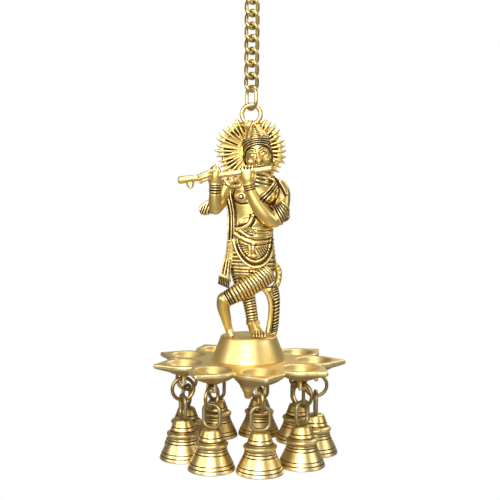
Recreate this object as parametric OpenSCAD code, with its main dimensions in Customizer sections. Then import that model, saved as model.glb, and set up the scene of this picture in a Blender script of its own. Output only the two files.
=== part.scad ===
// Hanging oil lamp in cast brass: a flute player with a rayed halo stands on a pedestal above a
// nine-petalled lamp dish, bells hang under the petals, and a curb chain with a hook carries it all.
// Millimetres, +Z up, origin at the inside top of the hook's throat.

/* [Hook] */
// Inner radius of the hook's throat
hook_throat_r = 7; // [6:0.5:12]
// Diameter of the hook's bar
hook_wire = 4; // [3:0.2:5]
// Radius of the hook's eye, to the middle of its wire
hook_eye_r = 6; // [5:0.5:9]

/* [Chain] */
// Diameter of the chain wire
chain_wire = 3.2; // [2.6:0.1:3.4]
// Outer width of a curb link
link_width = 11.7; // [11:0.1:14]
// Distance from one curb link to the next
link_pitch = 9.6; // [9:0.1:14]
// Number of curb links
link_count = 8; // [4:1:10]
// Turn of a curb link from its middle to each end
link_twist = 45; // [40:1:50]
// Diameter of the connector's wire
connector_wire = 2.8; // [2.4:0.1:3]
// Outer width of the connector
connector_width = 15.2; // [14.6:0.1:18]
// Turn of the connector away from the eye
connector_turn = 55; // [50:1:65]
// Length of the connector between the middles of its end wires
connector_length = 17.5; // [15:0.5:24]

/* [Figure] */
// Height of the figure from its soles to the crown's tip
figure_height = 168; // [150:1:190]
// Radius of the halo to the tips of its rays
halo_r = 29; // [26:0.5:32]
// Number of rays round the halo
halo_rays = 38; // [28:1:46]
// Radius of the hanging eye, to the middle of its ring
eye_r = 7.9; // [7.4:0.1:9]
// Thickness of the hanging eye's ring
eye_wire = 3.4; // [3:0.1:3.8]

/* [Pedestal] */
// Height of the pedestal
pedestal_height = 19; // [15:0.5:26]
// Radius of the pedestal's foot
pedestal_foot_r = 29; // [28:0.5:33]
// Radius of the pedestal's top
pedestal_top_r = 22.5; // [22:0.5:26]
// Wall of the hollow pedestal
pedestal_wall = 3; // [2:0.2:4]

/* [Dish] */
// Number of petals, each with one oil cup and one bell
petal_count = 9; // [7:1:10]
// How far a petal's tip reaches past the middle of its cup
petal_reach = 25; // [23:0.5:30]
// Depth of a cup outside
cup_depth = 10; // [8.5:0.5:13]
// Wall of a cup
cup_wall = 2; // [1.6:0.1:3]
// Width of a cup's flat rim
cup_rim = 4.6; // [3:0.2:6]
// Height of the upright wall round a petal's edge
petal_wall = 3.4; // [2.4:0.2:4.4]
// Turn of the front petal towards the right
front_turn = 9.8; // [0:0.2:20]
// Thickness of the dish between the cups
dish_thickness = 5; // [4:0.5:7]
// Depth of the boss under the middle of the dish
boss_depth = 23.3; // [18:0.1:28]
// Radius of the stud that clamps pedestal and dish
stud_r = 2; // [1.5:0.1:2.5]

/* [Bells] */
// Outer radius of a bell's mouth
bell_mouth_r = 18; // [15:0.1:21]
// Height of a bell without its loop
bell_height = 31; // [28:0.5:40]
// Wall of a bell
bell_wall = 2; // [1.6:0.1:2.4]
// Gap between the mouths of neighbouring bells
bell_gap = 0.7; // [0.6:0.05:3]
// Diameter of a bell loop's wire
loop_wire = 3; // [2.6:0.1:3.4]
// Width of a bell's loop between the middles of its sides
loop_width = 14; // [12:0.5:17]
// Height of a bell's loop between the middles of its top and bottom
loop_height = 17; // [15:0.5:22]
// Diameter of a hanging ring's wire
ring_wire = 2.8; // [2.4:0.1:3.2]
// Outer diameter of a hanging ring
ring_od = 20; // [19:0.5:26]
// Radius of a clapper's ball
clapper_ball_r = 3.6; // [3:0.1:4.2]

/* [Hidden] */
$fn = 48;
// Running gap between pieces that hang in each other
clear = 0.3;
// Gap round the stud in the bores that it passes through
bore_gap = 0.15;
// Tiny overlap that keeps fused shapes in one piece
weld = 0.05;

// Chain, from the top down
hook_bend_r = hook_throat_r + hook_wire / 2;
hook_bend_z = -hook_throat_r;
hook_turn = 60;
hook_bead = 0.8;
hook_shank_z = hook_bend_z - 2 * hook_bend_r * sin(hook_turn);
hook_eye_wire = chain_wire;
hook_eye_z = hook_shank_z - hook_eye_r;
link_span = link_pitch + chain_wire + clear;
first_link_z = hook_eye_z - hook_eye_r + (hook_eye_wire + chain_wire) / 2 + clear - link_span / 2;
function link_z(i) = first_link_z - (i - 1) * link_pitch;
connector_top_z = link_z(link_count) - link_span / 2 + (chain_wire + connector_wire) / 2 + clear;
connector_z = connector_top_z - connector_length / 2;
eye_top_z = connector_top_z - connector_length + (connector_wire + eye_wire) / 2 + clear;

// Crown of the figure and middle of its halo, in the frame in which the figure is drawn: soles at zero
crown = [
    [3.3, -2, 151, 11.2, 10.8], [2.9, -2, 154, 11.6, 11.2], [2.4, -1.8, 156, 10, 9.6],
    [1.8, -1.4, 160, 7.4, 7.2], [1.1, -0.6, 164, 4.6, 4.6], [0.6, -0.2, 168, 1.4, 1.4]
];
halo_middle = [-1, 3, 145];

// The drawn figure grows or shrinks to the height that is asked for; halo and eye keep their own sizes
figure_scale = figure_height / crown[len(crown) - 1][2];
halo_thickness = 3;
eye_sink = 1.3;
eye_x = halo_middle[0] * figure_scale;
eye_y = 0.6;
eye_z = halo_middle[2] * figure_scale + halo_r - eye_sink;
eye_cheek_r = eye_wire / 2 + 0.9;
figure_x = -eye_x;
figure_y = -eye_y;
figure_z = eye_top_z - eye_r - eye_z;

// The dish's axis stands a little beside the chain's line, so that the lamp hangs upright
dish_x = -0.4;
dish_y = 1.9;

// Dish and bells: the rim of the dish is the pedestal's seat
rim_z = figure_z - pedestal_height;
petal_step = 360 / petal_count;
function petal_angle(i) = -90 + front_turn + (i - 1) * petal_step;
bell_circle_r = (bell_mouth_r + bell_gap / 2) / sin(petal_step / 2);
lug_offset = 1.6;
cup_circle_r = bell_circle_r - lug_offset;
petal_overlap = 0.6;
petal_tip_r = 2.2;
petal_step_in = 2 * petal_overlap + 0.4;
cup_outer_r = cup_circle_r * sin(petal_step / 2) + petal_overlap;
cup_inner_r = cup_outer_r - cup_rim;
hub_r = cup_circle_r - cup_outer_r / 2;
boss_r = 14.5;
boss_foot_r = 6.5;
stud_bore_r = stud_r + bore_gap;

// Hangers below a petal, measured down from the rim
lug_thickness = 3.6;
lug_bar_r = lug_thickness / 2;
lug_gap = ring_wire + 1.8;
lug_width = 8.2;
ring_r = (ring_od - ring_wire) / 2;
ring_seat = lug_bar_r + ring_wire / 2 + clear;
window_top = cup_depth - 0.1;
lug_bar_z = -(window_top + ring_seat + ring_wire / 2 + 2 * clear);
ring_z = lug_bar_z + ring_seat - ring_r;
loop_top_z = ring_z - ring_r + (ring_wire + loop_wire) / 2 + clear;
loop_corner_r = 5;
loop_sink = 0.6;
bell_crown_z = loop_top_z - loop_height - loop_sink;

// Bell and clapper
crown_wall = 3;
staple_wire = 1.6;
staple_r = 2.6;
staple_z = -crown_wall - 1.2;
clapper_eye_r = 2.4;
clapper_pivot_z = staple_z - staple_r;
clapper_eye_z = clapper_pivot_z + staple_wire + clear - clapper_eye_r;
clapper_rod_r = 1.2;
clapper_poke = 1.2;
clapper_ball_z = -bell_height - clapper_poke + clapper_ball_r;

link_names = [for (i = [1:link_count]) str("chain_link_", i)];
ring_names = [for (i = [1:petal_count]) str("bell_ring_", i)];
bell_names = [for (i = [1:petal_count]) str("bell_", i)];
clapper_names = [for (i = [1:petal_count]) str("clapper_", i)];
NODES = concat(
    ["top_hook"], link_names, ["connector_link", "figure", "pedestal", "lamp_dish", "clamp_stud"],
    ["finial_nut"], ring_names, bell_names, clapper_names
);
node = "all";

// Points and lofts

function unit(v) = v / norm(v);

// A smooth value at t from 0 to 1 along a list of stations
function sample(s, t) =
    let (
        n = len(s) - 1,
        q = min(t * n, n - 0.000001),
        i = floor(q),
        f = q - i,
        a = s[max(i - 1, 0)],
        b = s[i],
        c = s[i + 1],
        d = s[min(i + 2, n)]
    )
    0.5 * (2 * b + (c - a) * f + (2 * a - 5 * b + 4 * c - d) * f * f + (3 * b - a - 3 * c + d) * f * f * f);

function stations(s, steps) = [for (k = [0:steps]) sample(s, k / steps)];

// Stations with a row of ridges: every second ring is drawn in by the depth
function ridged(s, ridges, depth) = [
    for (k = [0:2 * ridges])
        let (p = sample(s, k / (2 * ridges)), cut = k % 2 == 0 ? depth : 0)
        [p[0], p[1], p[2], p[3] - cut, p[4] - cut]
];

// A closed tube through stations [x, y, z, half width, half depth]; the width lies along side
module loft(s, side, sides) {
    n = len(s);
    middle = [for (p = s) [p[0], p[1], p[2]]];
    points = [
        for (i = [0:n - 1])
            let (
                along = unit(middle[min(i + 1, n - 1)] - middle[max(i - 1, 0)]),
                v = unit(cross(along, side)),
                u = cross(v, along)
            )
            for (k = [0:sides - 1])
                middle[i] + s[i][3] * cos(360 * k / sides) * u + s[i][4] * sin(360 * k / sides) * v
    ];
    walls = [
        for (i = [0:n - 2], k = [0:sides - 1])
            let (a = i * sides + k, b = i * sides + (k + 1) % sides)
            each [[a, a + sides, b], [b, a + sides, b + sides]]
    ];
    first = [for (k = [0:sides - 1]) k];
    last = [for (k = [sides - 1:-1:0]) (n - 1) * sides + k];
    polyhedron(points, concat(walls, [first], [last]));
}

// A closed tube round a loop of points
module closed_tube(path, r, sides) {
    n = len(path);
    points = [
        for (i = [0:n - 1])
            let (
                along = unit(path[(i + 1) % n] - path[(i + n - 1) % n]),
                side = [path[i][0], path[i][1], path[i][2]],
                v = unit(cross(along, side)),
                u = cross(v, along)
            )
            for (k = [0:sides - 1]) path[i] + r * cos(360 * k / sides) * u + r * sin(360 * k / sides) * v
    ];
    walls = [
        for (i = [0:n - 1], k = [0:sides - 1])
            let (j = (i + 1) % n, m = (k + 1) % sides)
            each [
                [i * sides + k, j * sides + k, i * sides + m],
                [i * sides + m, j * sides + k, j * sides + m]
            ]
    ];
    polyhedron(points, walls);
}

// A torus arc in the XZ plane, from one angle to another, counted from +X towards +Z
module wire_arc(r, wire, from, to) {
    rotate([90, 0, 0]) rotate([0, 0, from]) rotate_extrude(angle = to - from)
        translate([r, 0]) circle(d = wire);
}

module wire_ring(r, wire) {
    rotate([90, 0, 0]) rotate_extrude() translate([r, 0]) circle(d = wire);
}

// A round-ended link in the XZ plane
module oval_link(width, span, wire) {
    r = width / 2;
    flat = span - width;
    translate([0, 0, flat / 2]) wire_arc(r, wire, 0, 180);
    translate([0, 0, -flat / 2]) wire_arc(r, wire, 180, 360);
    for (x = [-r, r]) translate([x, 0, -flat / 2]) cylinder(d = wire, h = flat);
}

module rod(a, b, r) {
    hull() {
        translate(a) sphere(r, $fn = 7);
        translate(b) sphere(r, $fn = 7);
    }
}

// Chain

module top_hook() {
    color("darkgoldenrod") {
        translate([0, 0, hook_bend_z]) {
            wire_arc(hook_bend_r, hook_wire, -hook_turn, 200);
            rotate([0, -200, 0]) translate([hook_bend_r, 0, 0]) sphere(d = hook_wire + hook_bead);
            rotate([0, hook_turn, 0]) translate([hook_bend_r, 0, 0]) sphere(d = hook_wire + hook_bead);
        }
        translate([hook_bend_r, 0, hook_shank_z]) wire_arc(hook_bend_r, hook_wire, 180 - hook_turn, 180);
        translate([0, 0, hook_shank_z]) sphere(d = hook_wire + hook_bead);
        translate([0, 0, hook_eye_z]) rotate([0, 0, link_twist]) wire_ring(hook_eye_r, hook_eye_wire);
    }
}

// Round-ended outline of a curb link, walked by its length
function link_point(walk) =
    let (
        r = (link_width - chain_wire) / 2,
        flat = link_span - 2 * r,
        turn = 180 * r * PI / 180,
        total = 2 * flat + 2 * turn,
        w = walk * total
    )
    w < flat ? [r, w - flat / 2]
    : w < flat + turn ? let (a = (w - flat) / r * 180 / PI) [r * cos(a), flat / 2 + r * sin(a)]
    : w < 2 * flat + turn ? [-r, flat / 2 - (w - flat - turn)]
    : let (a = (w - 2 * flat - turn) / r * 180 / PI) [-r * cos(a), -flat / 2 - r * sin(a)];

link_rings = 24;
link_sides = 8;

module chain_link(i) {
    path = [
        for (k = [0:link_rings - 1])
            let (p = link_point((k + 0.5) / link_rings), a = -link_twist * 2 * p[1] / link_span)
            [p[0] * cos(a), p[0] * sin(a), p[1]]
    ];
    color("darkgoldenrod") translate([0, 0, link_z(i)]) closed_tube(path, chain_wire / 2, link_sides);
}

module connector_link() {
    color("darkgoldenrod")
        translate([0, 0, connector_z]) rotate([0, 0, -connector_turn])
            oval_link(connector_width - connector_wire, connector_length, connector_wire);
}

// Figure, cast in one piece with its halo, hanging eye, flute and scarf

pelvis = [[1, 0, 45, 13, 8], [1, 0, 50, 16.5, 10], [1, 0, 60, 18, 11], [0.5, 0, 71, 16, 9.4]];
torso = [
    [0.5, 0, 68, 16.5, 10.5], [0, -1, 76, 17, 11], [-0.5, 0, 88, 15.5, 9.5], [0.5, 0, 98, 16.5, 10],
    [1.5, 0, 110, 19.5, 10.5], [1.8, 0, 117, 19, 9], [2.5, 0, 122, 12, 7]
];
neck = [[3, 0, 118, 8.6, 8], [4, -1, 127, 7.2, 7], [4.4, -2, 137, 6.4, 6.4]];
head = [
    [6.2, -6.4, 127.6, 3.2, 2.8], [5.8, -4.2, 130.4, 6.8, 6.5], [5.2, -2.6, 137, 9.8, 9.4],
    [4.2, -2, 144.6, 11, 10.8], [3.1, -1.6, 152, 10.2, 10.2], [2.4, -1, 157, 7.5, 8]
];
right_upper_arm = [
    [-17.6, 0, 119, 6.4, 6.4], [-21.4, -2, 114, 6.8, 6.6], [-25.2, -6, 103, 6, 6], [-28, -9, 96, 5.6, 5.6]
];
right_forearm = [
    [-28, -9, 95, 5, 5], [-28.4, -11, 103, 5, 5], [-28.3, -13, 112, 4.4, 4.4], [-28.2, -13.6, 119, 4, 3.6]
];
right_palm = [[-28.2, -13.6, 118, 4, 3.2], [-28.2, -14.4, 124, 4.6, 3], [-28.2, -15, 129, 4.2, 2.6]];
left_upper_arm = [
    [20, 0, 119, 6.4, 6.4], [23.6, -2, 112, 6.4, 6.4], [22.8, -7, 101, 6, 6], [17.8, -11.6, 91.2, 6.2, 6.2]
];
left_forearm = [
    [17.4, -12, 90.6, 5.8, 5.8], [10.8, -14.6, 95.2, 6, 5.8], [4.2, -16.2, 103.7, 5.3, 5],
    [-0.2, -16.7, 112, 4.5, 4.2], [-2.5, -16.8, 119, 4, 3.6]
];
left_palm = [[-2.4, -16.8, 118, 4, 3.2], [-3, -17.4, 124, 5, 3], [-3.4, -17.4, 129, 4.8, 2.4]];
front_thigh = [
    [13, -2, 51.4, 9.4, 9.4], [4, -6, 44, 9, 8.8], [-8, -9, 36.4, 7.8, 7.8], [-20, -10, 29.4, 6.4, 6.4]
];
front_shin = [
    [-21, -10, 30, 5.5, 5.5], [-21.4, -9.6, 24, 5, 5], [-19, -8, 14, 3.6, 4], [-16.8, -7, 5, 2.8, 3]
];
front_foot = [[-17, -7, 7, 2.7, 3.2], [-15.5, -8, 3, 2.8, 3.1], [-13.4, -9.4, -1, 2.4, 2.4]];
back_thigh = [[-8, 1, 53, 9, 9], [-6.5, 1, 44, 8, 8], [-3, 1, 33, 6, 6]];
back_shin = [[-3.4, 1, 34, 6, 6], [-0.6, 0.6, 24, 5.4, 5.4], [2, 0, 13, 4.8, 4.8]];
back_foot = [
    [1.4, 1.5, 12, 4.4, 4.4], [2.4, -1.5, 8, 4.4, 5.2], [4.8, -7, 4.2, 5, 4], [6.6, -11.4, 2.2, 5.6, 2.2]
];
scarf_left = [
    [-17.6, -3, 117, 2.6, 1.4], [-17.6, -6, 104, 3, 1.4], [-16.6, -5, 84, 3, 1.4],
    [-17.4, -4.4, 64, 3.2, 1.4], [-19.4, -4.8, 54, 3.6, 1.5], [-20.4, -5, 47, 4.6, 1.6]
];
scarf_right = [[20, -1, 124, 4, 3], [27, -2, 115, 3.2, 4.6], [28, 0, 104, 3, 4.6], [27, 1.4, 92, 3.6, 2]];
scarf_elbow = [[-24, 1, 106, 4, 2], [-31, 0, 101, 4.4, 1.8], [-38, -1, 96.5, 3, 1.4]];
tail_loop = [[16, 1, 58, 2, 2.4], [23, 1.6, 52, 2.2, 2.6], [22.6, 2, 43, 2.2, 2.6], [14, 2, 36, 2, 2.4]];
tail_end = [[13, 1.6, 37.5, 1.8, 2], [18.6, 1.8, 30, 3, 2.4], [21.4, 2, 16, 3.6, 2.6], [21, 2, -1, 3, 2.8]];
belt = [[0.4, -0.6, 80, 18, 11.8], [0.2, -0.8, 82.4, 18.2, 12], [-0.2, -0.6, 85, 17.2, 11.4]];

flute_mouth = [14, -13.5, 130.9];
flute_tail = [-55, -16.5, 121.6];
flute_r = 2.3;
flute_rings = [0.44, 0.52, 0.8, 0.86, 0.92];
flute = concat(
    [concat(flute_mouth, [flute_r, flute_r])],
    [
        for (t = flute_rings, k = [-1, 0, 1])
            let (r = flute_r + (k == 0 ? 0.8 : 0))
            concat(flute_mouth + (t + k * 0.014) * (flute_tail - flute_mouth), [r, r])
    ],
    [concat(flute_tail, [flute_r, flute_r])]
);
apron_centre = [1.6, -3, 71];

module spread_fingers(base, tip, count, gap, r) {
    for (k = [0:count - 1]) {
        shift = (k - (count - 1) / 2) * gap;
        rod(base + [shift, 0, 0], tip + [shift * 1.15, 0, 0], r);
    }
}

// A row of bangles as one ridged sleeve
module bangles(from, to, r, count) {
    loft(ridged([concat(from, [r, r]), concat(to, [r, r])], count, 1), [1, 0, 0], 10);
}

// A disc with a fan of rays in front: every ray rises to a ridge and ends in a point
module halo() {
    teeth = 2 * halo_rays;
    flat = -halo_thickness / 2;
    ridge = halo_thickness / 2 + 0.7;
    valley = halo_thickness / 2 - 0.7;
    hub = halo_r * 0.35;
    root = halo_r * 0.88;
    function ring(r_ridge, r_valley, z_ridge, z_valley) = [
        for (k = [0:teeth - 1])
            let (a = k * 360 / teeth, top = k % 2 == 0, r = top ? r_ridge : r_valley)
            [r * cos(a), r * sin(a), top ? z_ridge : z_valley]
    ];
    points = concat(
        ring(hub, hub, valley, valley), ring(root, root, ridge, valley), ring(halo_r, root, valley, valley),
        ring(halo_r, root, flat, flat)
    );
    walls = [
        for (i = [0:2], k = [0:teeth - 1])
            let (a = i * teeth + k, b = i * teeth + (k + 1) % teeth)
            each i == 1 && k % 2 == 0 ? [[a, b, a + teeth]]
            : i == 1 ? [[a, b, b + teeth]]
            : [[a, b, a + teeth], [b, b + teeth, a + teeth]]
    ];
    front = [for (k = [teeth - 1:-1:0]) k];
    back = [for (k = [0:teeth - 1]) 3 * teeth + k];
    translate(halo_middle) rotate([90, 0, 0]) scale(1 / figure_scale)
        polyhedron(points, concat(walls, [front], [back]));
    translate([eye_x, eye_y, eye_z] / figure_scale) scale(1 / figure_scale) hanging_eye();
}

// The eye's ring is thicker at its sides, where it runs down into the halo
module hanging_eye() {
    rotate([90, 0, 0]) rotate_extrude($fn = 26) translate([eye_r, 0]) circle(d = eye_wire, $fn = 8);
    for (x = [-1, 1])
        rod(eye_r * [x * cos(28), 0, -sin(28)], eye_r * [x * cos(8), 0, sin(8)], eye_cheek_r);
}

module face_and_crown() {
    loft(stations(head, 8), [1, 0, 0], 14);
    loft(stations(crown, 6), [1, 0, 0], 14);
    rod([4.9, -12.4, 146], [5.2, -13.4, 140.6], 1.3);
    for (x = [-1, 1]) {
        rod([4.3 + x * 10.6, -1.5, 145], [5 + x * 10, -1, 137], 2);
        rod([4.4 + x * 2.4, -11.6, 147.6], [4.4 + x * 6.6, -10, 147], 0.9);
    }
    rod([3.7, -11.2, 136.4], [7.1, -11.2, 136.4], 1.1);
}

module arms_and_flute() {
    loft(stations(right_upper_arm, 4), [1, 0, 0], 10);
    loft(stations(right_forearm, 4), [1, 0, 0], 10);
    loft(stations(right_palm, 3), [1, 0, 0], 10);
    spread_fingers([-28.2, -17.6, 127], [-28.4, -16, 133], 3, 2.4, 1.3);
    loft(stations(left_upper_arm, 4), [1, 0, 0], 10);
    loft(stations(left_forearm, 5), [1, 0, 0], 10);
    loft(stations(left_palm, 3), [1, 0, 0], 10);
    spread_fingers([-3.4, -18.4, 129], [-3.8, -16.6, 135], 4, 2.3, 1.2);
    bangles([-28.3, -13, 112.4], [-28.2, -13.6, 118.6], 5, 3);
    bangles([-0.9, -16.7, 114.2], [-2.5, -16.8, 120], 5.1, 3);
    loft(flute, [0, 0, 1], 8);
    rod(flute_tail + [7, 0, 1], flute_tail + [7.6, -0.4, -7], 1.6);
    rod(flute_tail + [15, 0, 2], flute_tail + [17, -0.4, -4], 1.3);
}

module legs_and_hips() {
    loft(ridged(pelvis, 6, 0.7), [1, 0, 0], 18);
    loft(ridged(front_thigh, 11, 0.7), [0, 1, 0], 12);
    loft(stations(front_shin, 4), [0, 1, 0], 10);
    loft(stations(front_foot, 3), [0, 1, 0], 10);
    loft(stations(back_thigh, 2), [1, 0, 0], 10);
    loft(ridged(back_shin, 8, 0.6), [1, 0, 0], 10);
    loft(stations(back_foot, 4), [1, 0, 0], 10);
    for (k = [0:4])
        rod([2.4 + k * 2.1, -11.4 - k * 0.3, 1.9], [2.8 + k * 2.2, -15 + abs(k - 2) * 0.7, 1.5], 1.3);
}

module dress() {
    loft(stations(belt, 2), [1, 0, 0], 20);
    for (r = [13.5, 9])
        translate(apron_centre + [0, -8.4, 12]) rotate([82, 0, 0])
            rotate_extrude(angle = -180, $fn = 22) translate([r, 0]) circle(1.2, $fn = 5);
    translate([1.6, -10.6, 82]) rotate([82, 0, 0]) intersection() {
        cylinder(r = 13.5, h = 2, center = true, $fn = 22);
        translate([-14, -14, -2]) cube([28, 14, 4]);
    }
    rod([1.6, -13, 80], [1.6, -12.4, 72], 1.4);
    rod([-15, -8, 92], [13, -8.6, 101], 1.6);
    rod([-15.4, -8, 89.4], [14, -8.8, 97.6], 1.4);
    for (r = [8.5, 11.5])
        translate([2.6, -3, 122]) rotate([66, 0, 0])
            rotate_extrude(angle = -180, $fn = 20) translate([r, 0]) circle(1.1, $fn = 5);
    loft(stations(scarf_left, 8), [1, 0, 0], 6);
    for (k = [0:3]) rod([-24 + k * 2.4, -5, 47], [-24.4 + k * 2.5, -5.2, 40], 1.2);
    loft(ridged(scarf_right, 5, 0.6), [1, 0, 0], 8);
    loft(ridged(scarf_elbow, 4, 0.4), [0, 0, 1], 6);
    loft(stations(tail_loop, 7), [0, 1, 0], 6);
    loft(ridged(tail_end, 6, 0.4), [1, 0, 0], 6);
}

module figure() {
    color("goldenrod") translate([figure_x, figure_y, figure_z]) scale(figure_scale) intersection() {
        union() {
            loft(stations(torso, 9), [1, 0, 0], 18);
            loft(stations(neck, 4), [1, 0, 0], 12);
            for (x = [-1, 1]) translate([1.4 + x * 8.6, -4.4, 109]) sphere(8.4, $fn = 12);
            face_and_crown();
            halo();
            arms_and_flute();
            legs_and_hips();
            dress();
        }
        translate([-100, -100, 0]) cube([200, 200, 300]);
    }
}

// Pedestal and dish

module pedestal() {
    round_r = 2.5;
    boss = stud_r + 3.5;
    outer = concat(
        [[0, 0], [pedestal_foot_r, 0]],
        [for (a = [20:14:90]) [pedestal_top_r, pedestal_height] + round_r * [cos(a) - 1, sin(a) - 1]],
        [[0, pedestal_height]]
    );
    hollow = [
        [boss, -weld], [pedestal_foot_r - pedestal_wall, -weld],
        [pedestal_top_r - pedestal_wall, pedestal_height - pedestal_wall],
        [boss, pedestal_height - pedestal_wall]
    ];
    color("gold") translate([dish_x, dish_y, rim_z]) difference() {
        rotate_extrude() polygon(outer);
        rotate_extrude() polygon(hollow);
        translate([0, 0, -weld]) cylinder(r = stud_bore_r, h = pedestal_height - pedestal_wall + weld);
    }
}

// Radius and centre height of the ball whose cap is this wide and this deep
function cap_ball(r, depth) = (r * r + depth * depth) / (2 * depth);

// A petal seen from above, down to the depth: a round plate drawn out to a blunt tip. The straight sides
// start a little inside both rounds
module petal_plate(inset, depth) {
    r = cup_outer_r - inset;
    tip_r = petal_tip_r - inset;
    tip_x = petal_reach - petal_tip_r;
    side_r = 0.985 * r;
    end_r = 0.9 * tip_r;
    lean = acos((side_r - end_r) / tip_x);
    side = side_r * [cos(lean), sin(lean)];
    end = [tip_x, 0] + end_r * [cos(lean), sin(lean)];
    translate([0, 0, -depth]) {
        cylinder(r = r, h = depth);
        translate([tip_x, 0, 0]) cylinder(r = tip_r, h = depth);
        linear_extrude(depth) polygon([[side[0], -side[1]], [end[0], -end[1]], end, side]);
    }
}

// The bowl under the wall is part of a ball, and a cone runs from it to the tip. The cone is a little
// slimmer than the one that would just touch the ball, and ends inside it
module petal_bowl() {
    ball = cap_ball(cup_outer_r - petal_step_in / 2, cup_depth - petal_wall);
    rise = ball - cup_depth + petal_wall;
    far = norm([petal_reach, rise]);
    touch_angle = asin(ball / far);
    half_angle = 0.95 * touch_angle;
    cone_length = far * pow(cos(touch_angle), 2);
    translate([0, 0, -petal_wall]) {
        translate([0, 0, rise]) sphere(ball);
        translate([petal_reach, 0, 0]) rotate([0, -90 + atan2(rise, petal_reach), 0])
            cylinder(r1 = 0, r2 = cone_length * tan(half_angle), h = cone_length);
    }
}

module petal_form() {
    petal_plate(0, petal_wall);
    intersection() {
        petal_bowl();
        translate([0, 0, -petal_wall / 2]) petal_plate(petal_step_in, 2 * cup_depth);
    }
}

// A staple under the cup: two cheeks with a round bar across, along the tangent of the circle
module lug() {
    cheek = (lug_width - lug_gap) / 2;
    top_z = -cup_depth + cup_wall / 2;
    for (y = [-1, 1])
        translate([-lug_thickness / 2, y * (lug_gap + cheek) / 2 - cheek / 2, lug_bar_z])
            cube([lug_thickness, cheek, top_z - lug_bar_z]);
    translate([0, 0, lug_bar_z]) rotate([90, 0, 0]) cylinder(r = lug_bar_r, h = lug_width, center = true);
}

module each_petal() {
    for (i = [1:petal_count]) rotate([0, 0, petal_angle(i)]) children();
}

module lamp_dish() {
    cup_ball_r = cap_ball(cup_inner_r, cup_depth - cup_wall);
    boss = [
        [0, 0], [hub_r, 0], [hub_r, -dish_thickness], [boss_r + 2, -dish_thickness],
        [boss_r, -dish_thickness - 3], [boss_r - 2, -boss_depth * 0.62], [boss_foot_r, -boss_depth + 2],
        [boss_foot_r, -boss_depth], [0, -boss_depth]
    ];
    color("gold") translate([dish_x, dish_y, rim_z]) {
        difference() {
            union() {
                each_petal() translate([cup_circle_r, 0, 0]) petal_form();
                rotate_extrude() polygon(boss);
            }
            each_petal() translate([cup_circle_r, 0, cup_ball_r - cup_depth + cup_wall]) sphere(cup_ball_r);
            translate([0, 0, -boss_depth - 1]) cylinder(r = stud_bore_r, h = boss_depth + 2);
        }
        each_petal() translate([bell_circle_r, 0, 0]) lug();
    }
}

nut_collar_r = 5.2;
nut_collar_h = 1.6;
nut_height = 8.4;
nut_bore = 5;
stud_top = pedestal_height - pedestal_wall - 1;

module clamp_stud() {
    bottom = -boss_depth - nut_bore + clear;
    color("peru") translate([dish_x, dish_y, rim_z + bottom]) cylinder(r = stud_r, h = stud_top - bottom);
}

module finial_nut() {
    outline = [
        [0, 0], [nut_collar_r, 0], [nut_collar_r, -nut_collar_h], [stud_r + 2.4, -nut_collar_h - 0.4],
        [stud_r + 0.8, -nut_height + 0.8], [stud_r, -nut_height], [0, -nut_height]
    ];
    color("gold") translate([dish_x, dish_y, rim_z - boss_depth]) difference() {
        rotate_extrude() polygon(outline);
        translate([0, 0, -nut_bore]) cylinder(r = stud_bore_r, h = nut_bore + weld);
    }
}

// Bells

module at_bell(i) {
    translate([dish_x, dish_y, rim_z]) rotate([0, 0, petal_angle(i)])
        translate([bell_circle_r, 0, 0]) children();
}

module bell_ring(i) {
    color("darkgoldenrod") at_bell(i) translate([0, 0, ring_z]) wire_ring(ring_r, ring_wire);
}

// Outline of a bell from its crown down: cone, bead, collar, grooved waist and flaring skirt
collar_z = -0.4 * bell_height;
waist_z = -0.55 * bell_height;
waist_r = bell_mouth_r - 6.3;
skirt_drop = bell_height + waist_z;
groove = 0.5;
lip_h = 1.2;
function skirt_r(t) = waist_r + (bell_mouth_r - 0.4 - waist_r) * pow(t, 1.25);

module bell_body() {
    crown = [
        [0, 0], [waist_r - 6.6, 0], [waist_r - 5.6, -0.7], [waist_r - 3.2, -0.14 * bell_height],
        [waist_r - 3.2, collar_z + 6.8], [waist_r - 2.2, collar_z + 6], [waist_r - 1.8, collar_z + 4],
        [waist_r - 2.1, collar_z + 2.6]
    ];
    collar = [
        [waist_r, collar_z + 1.8], [waist_r + 0.7, collar_z + 0.6], [waist_r + 0.7, collar_z - 0.4],
        [waist_r + 0.1, collar_z - 1.6], [waist_r - groove, collar_z - 2], [waist_r, collar_z - 2.6]
    ];
    skirt = [
        for (t = [0:0.1:1])
            let (cut = abs(t - 0.2) < 0.01 || abs(t - 0.7) < 0.01 ? groove : 0)
            [skirt_r(t) - cut, waist_z - t * (skirt_drop - lip_h)]
    ];
    lip = [
        [bell_mouth_r, -bell_height + lip_h - 0.2], [bell_mouth_r, -bell_height + 0.4],
        [bell_mouth_r - 0.5, -bell_height]
    ];
    inner_skirt = [for (t = [1:-0.1:0]) [skirt_r(t) - bell_wall, waist_z - t * skirt_drop]];
    inner_crown = [
        [waist_r - bell_wall - 0.4, collar_z + 0.4], [waist_r - 3.4 - bell_wall + 0.6, collar_z + 2.4],
        [waist_r - 4.4 - bell_wall + 0.6, -crown_wall], [0, -crown_wall]
    ];
    rotate_extrude() polygon(concat(crown, collar, skirt, lip, inner_skirt, inner_crown));
}

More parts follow.
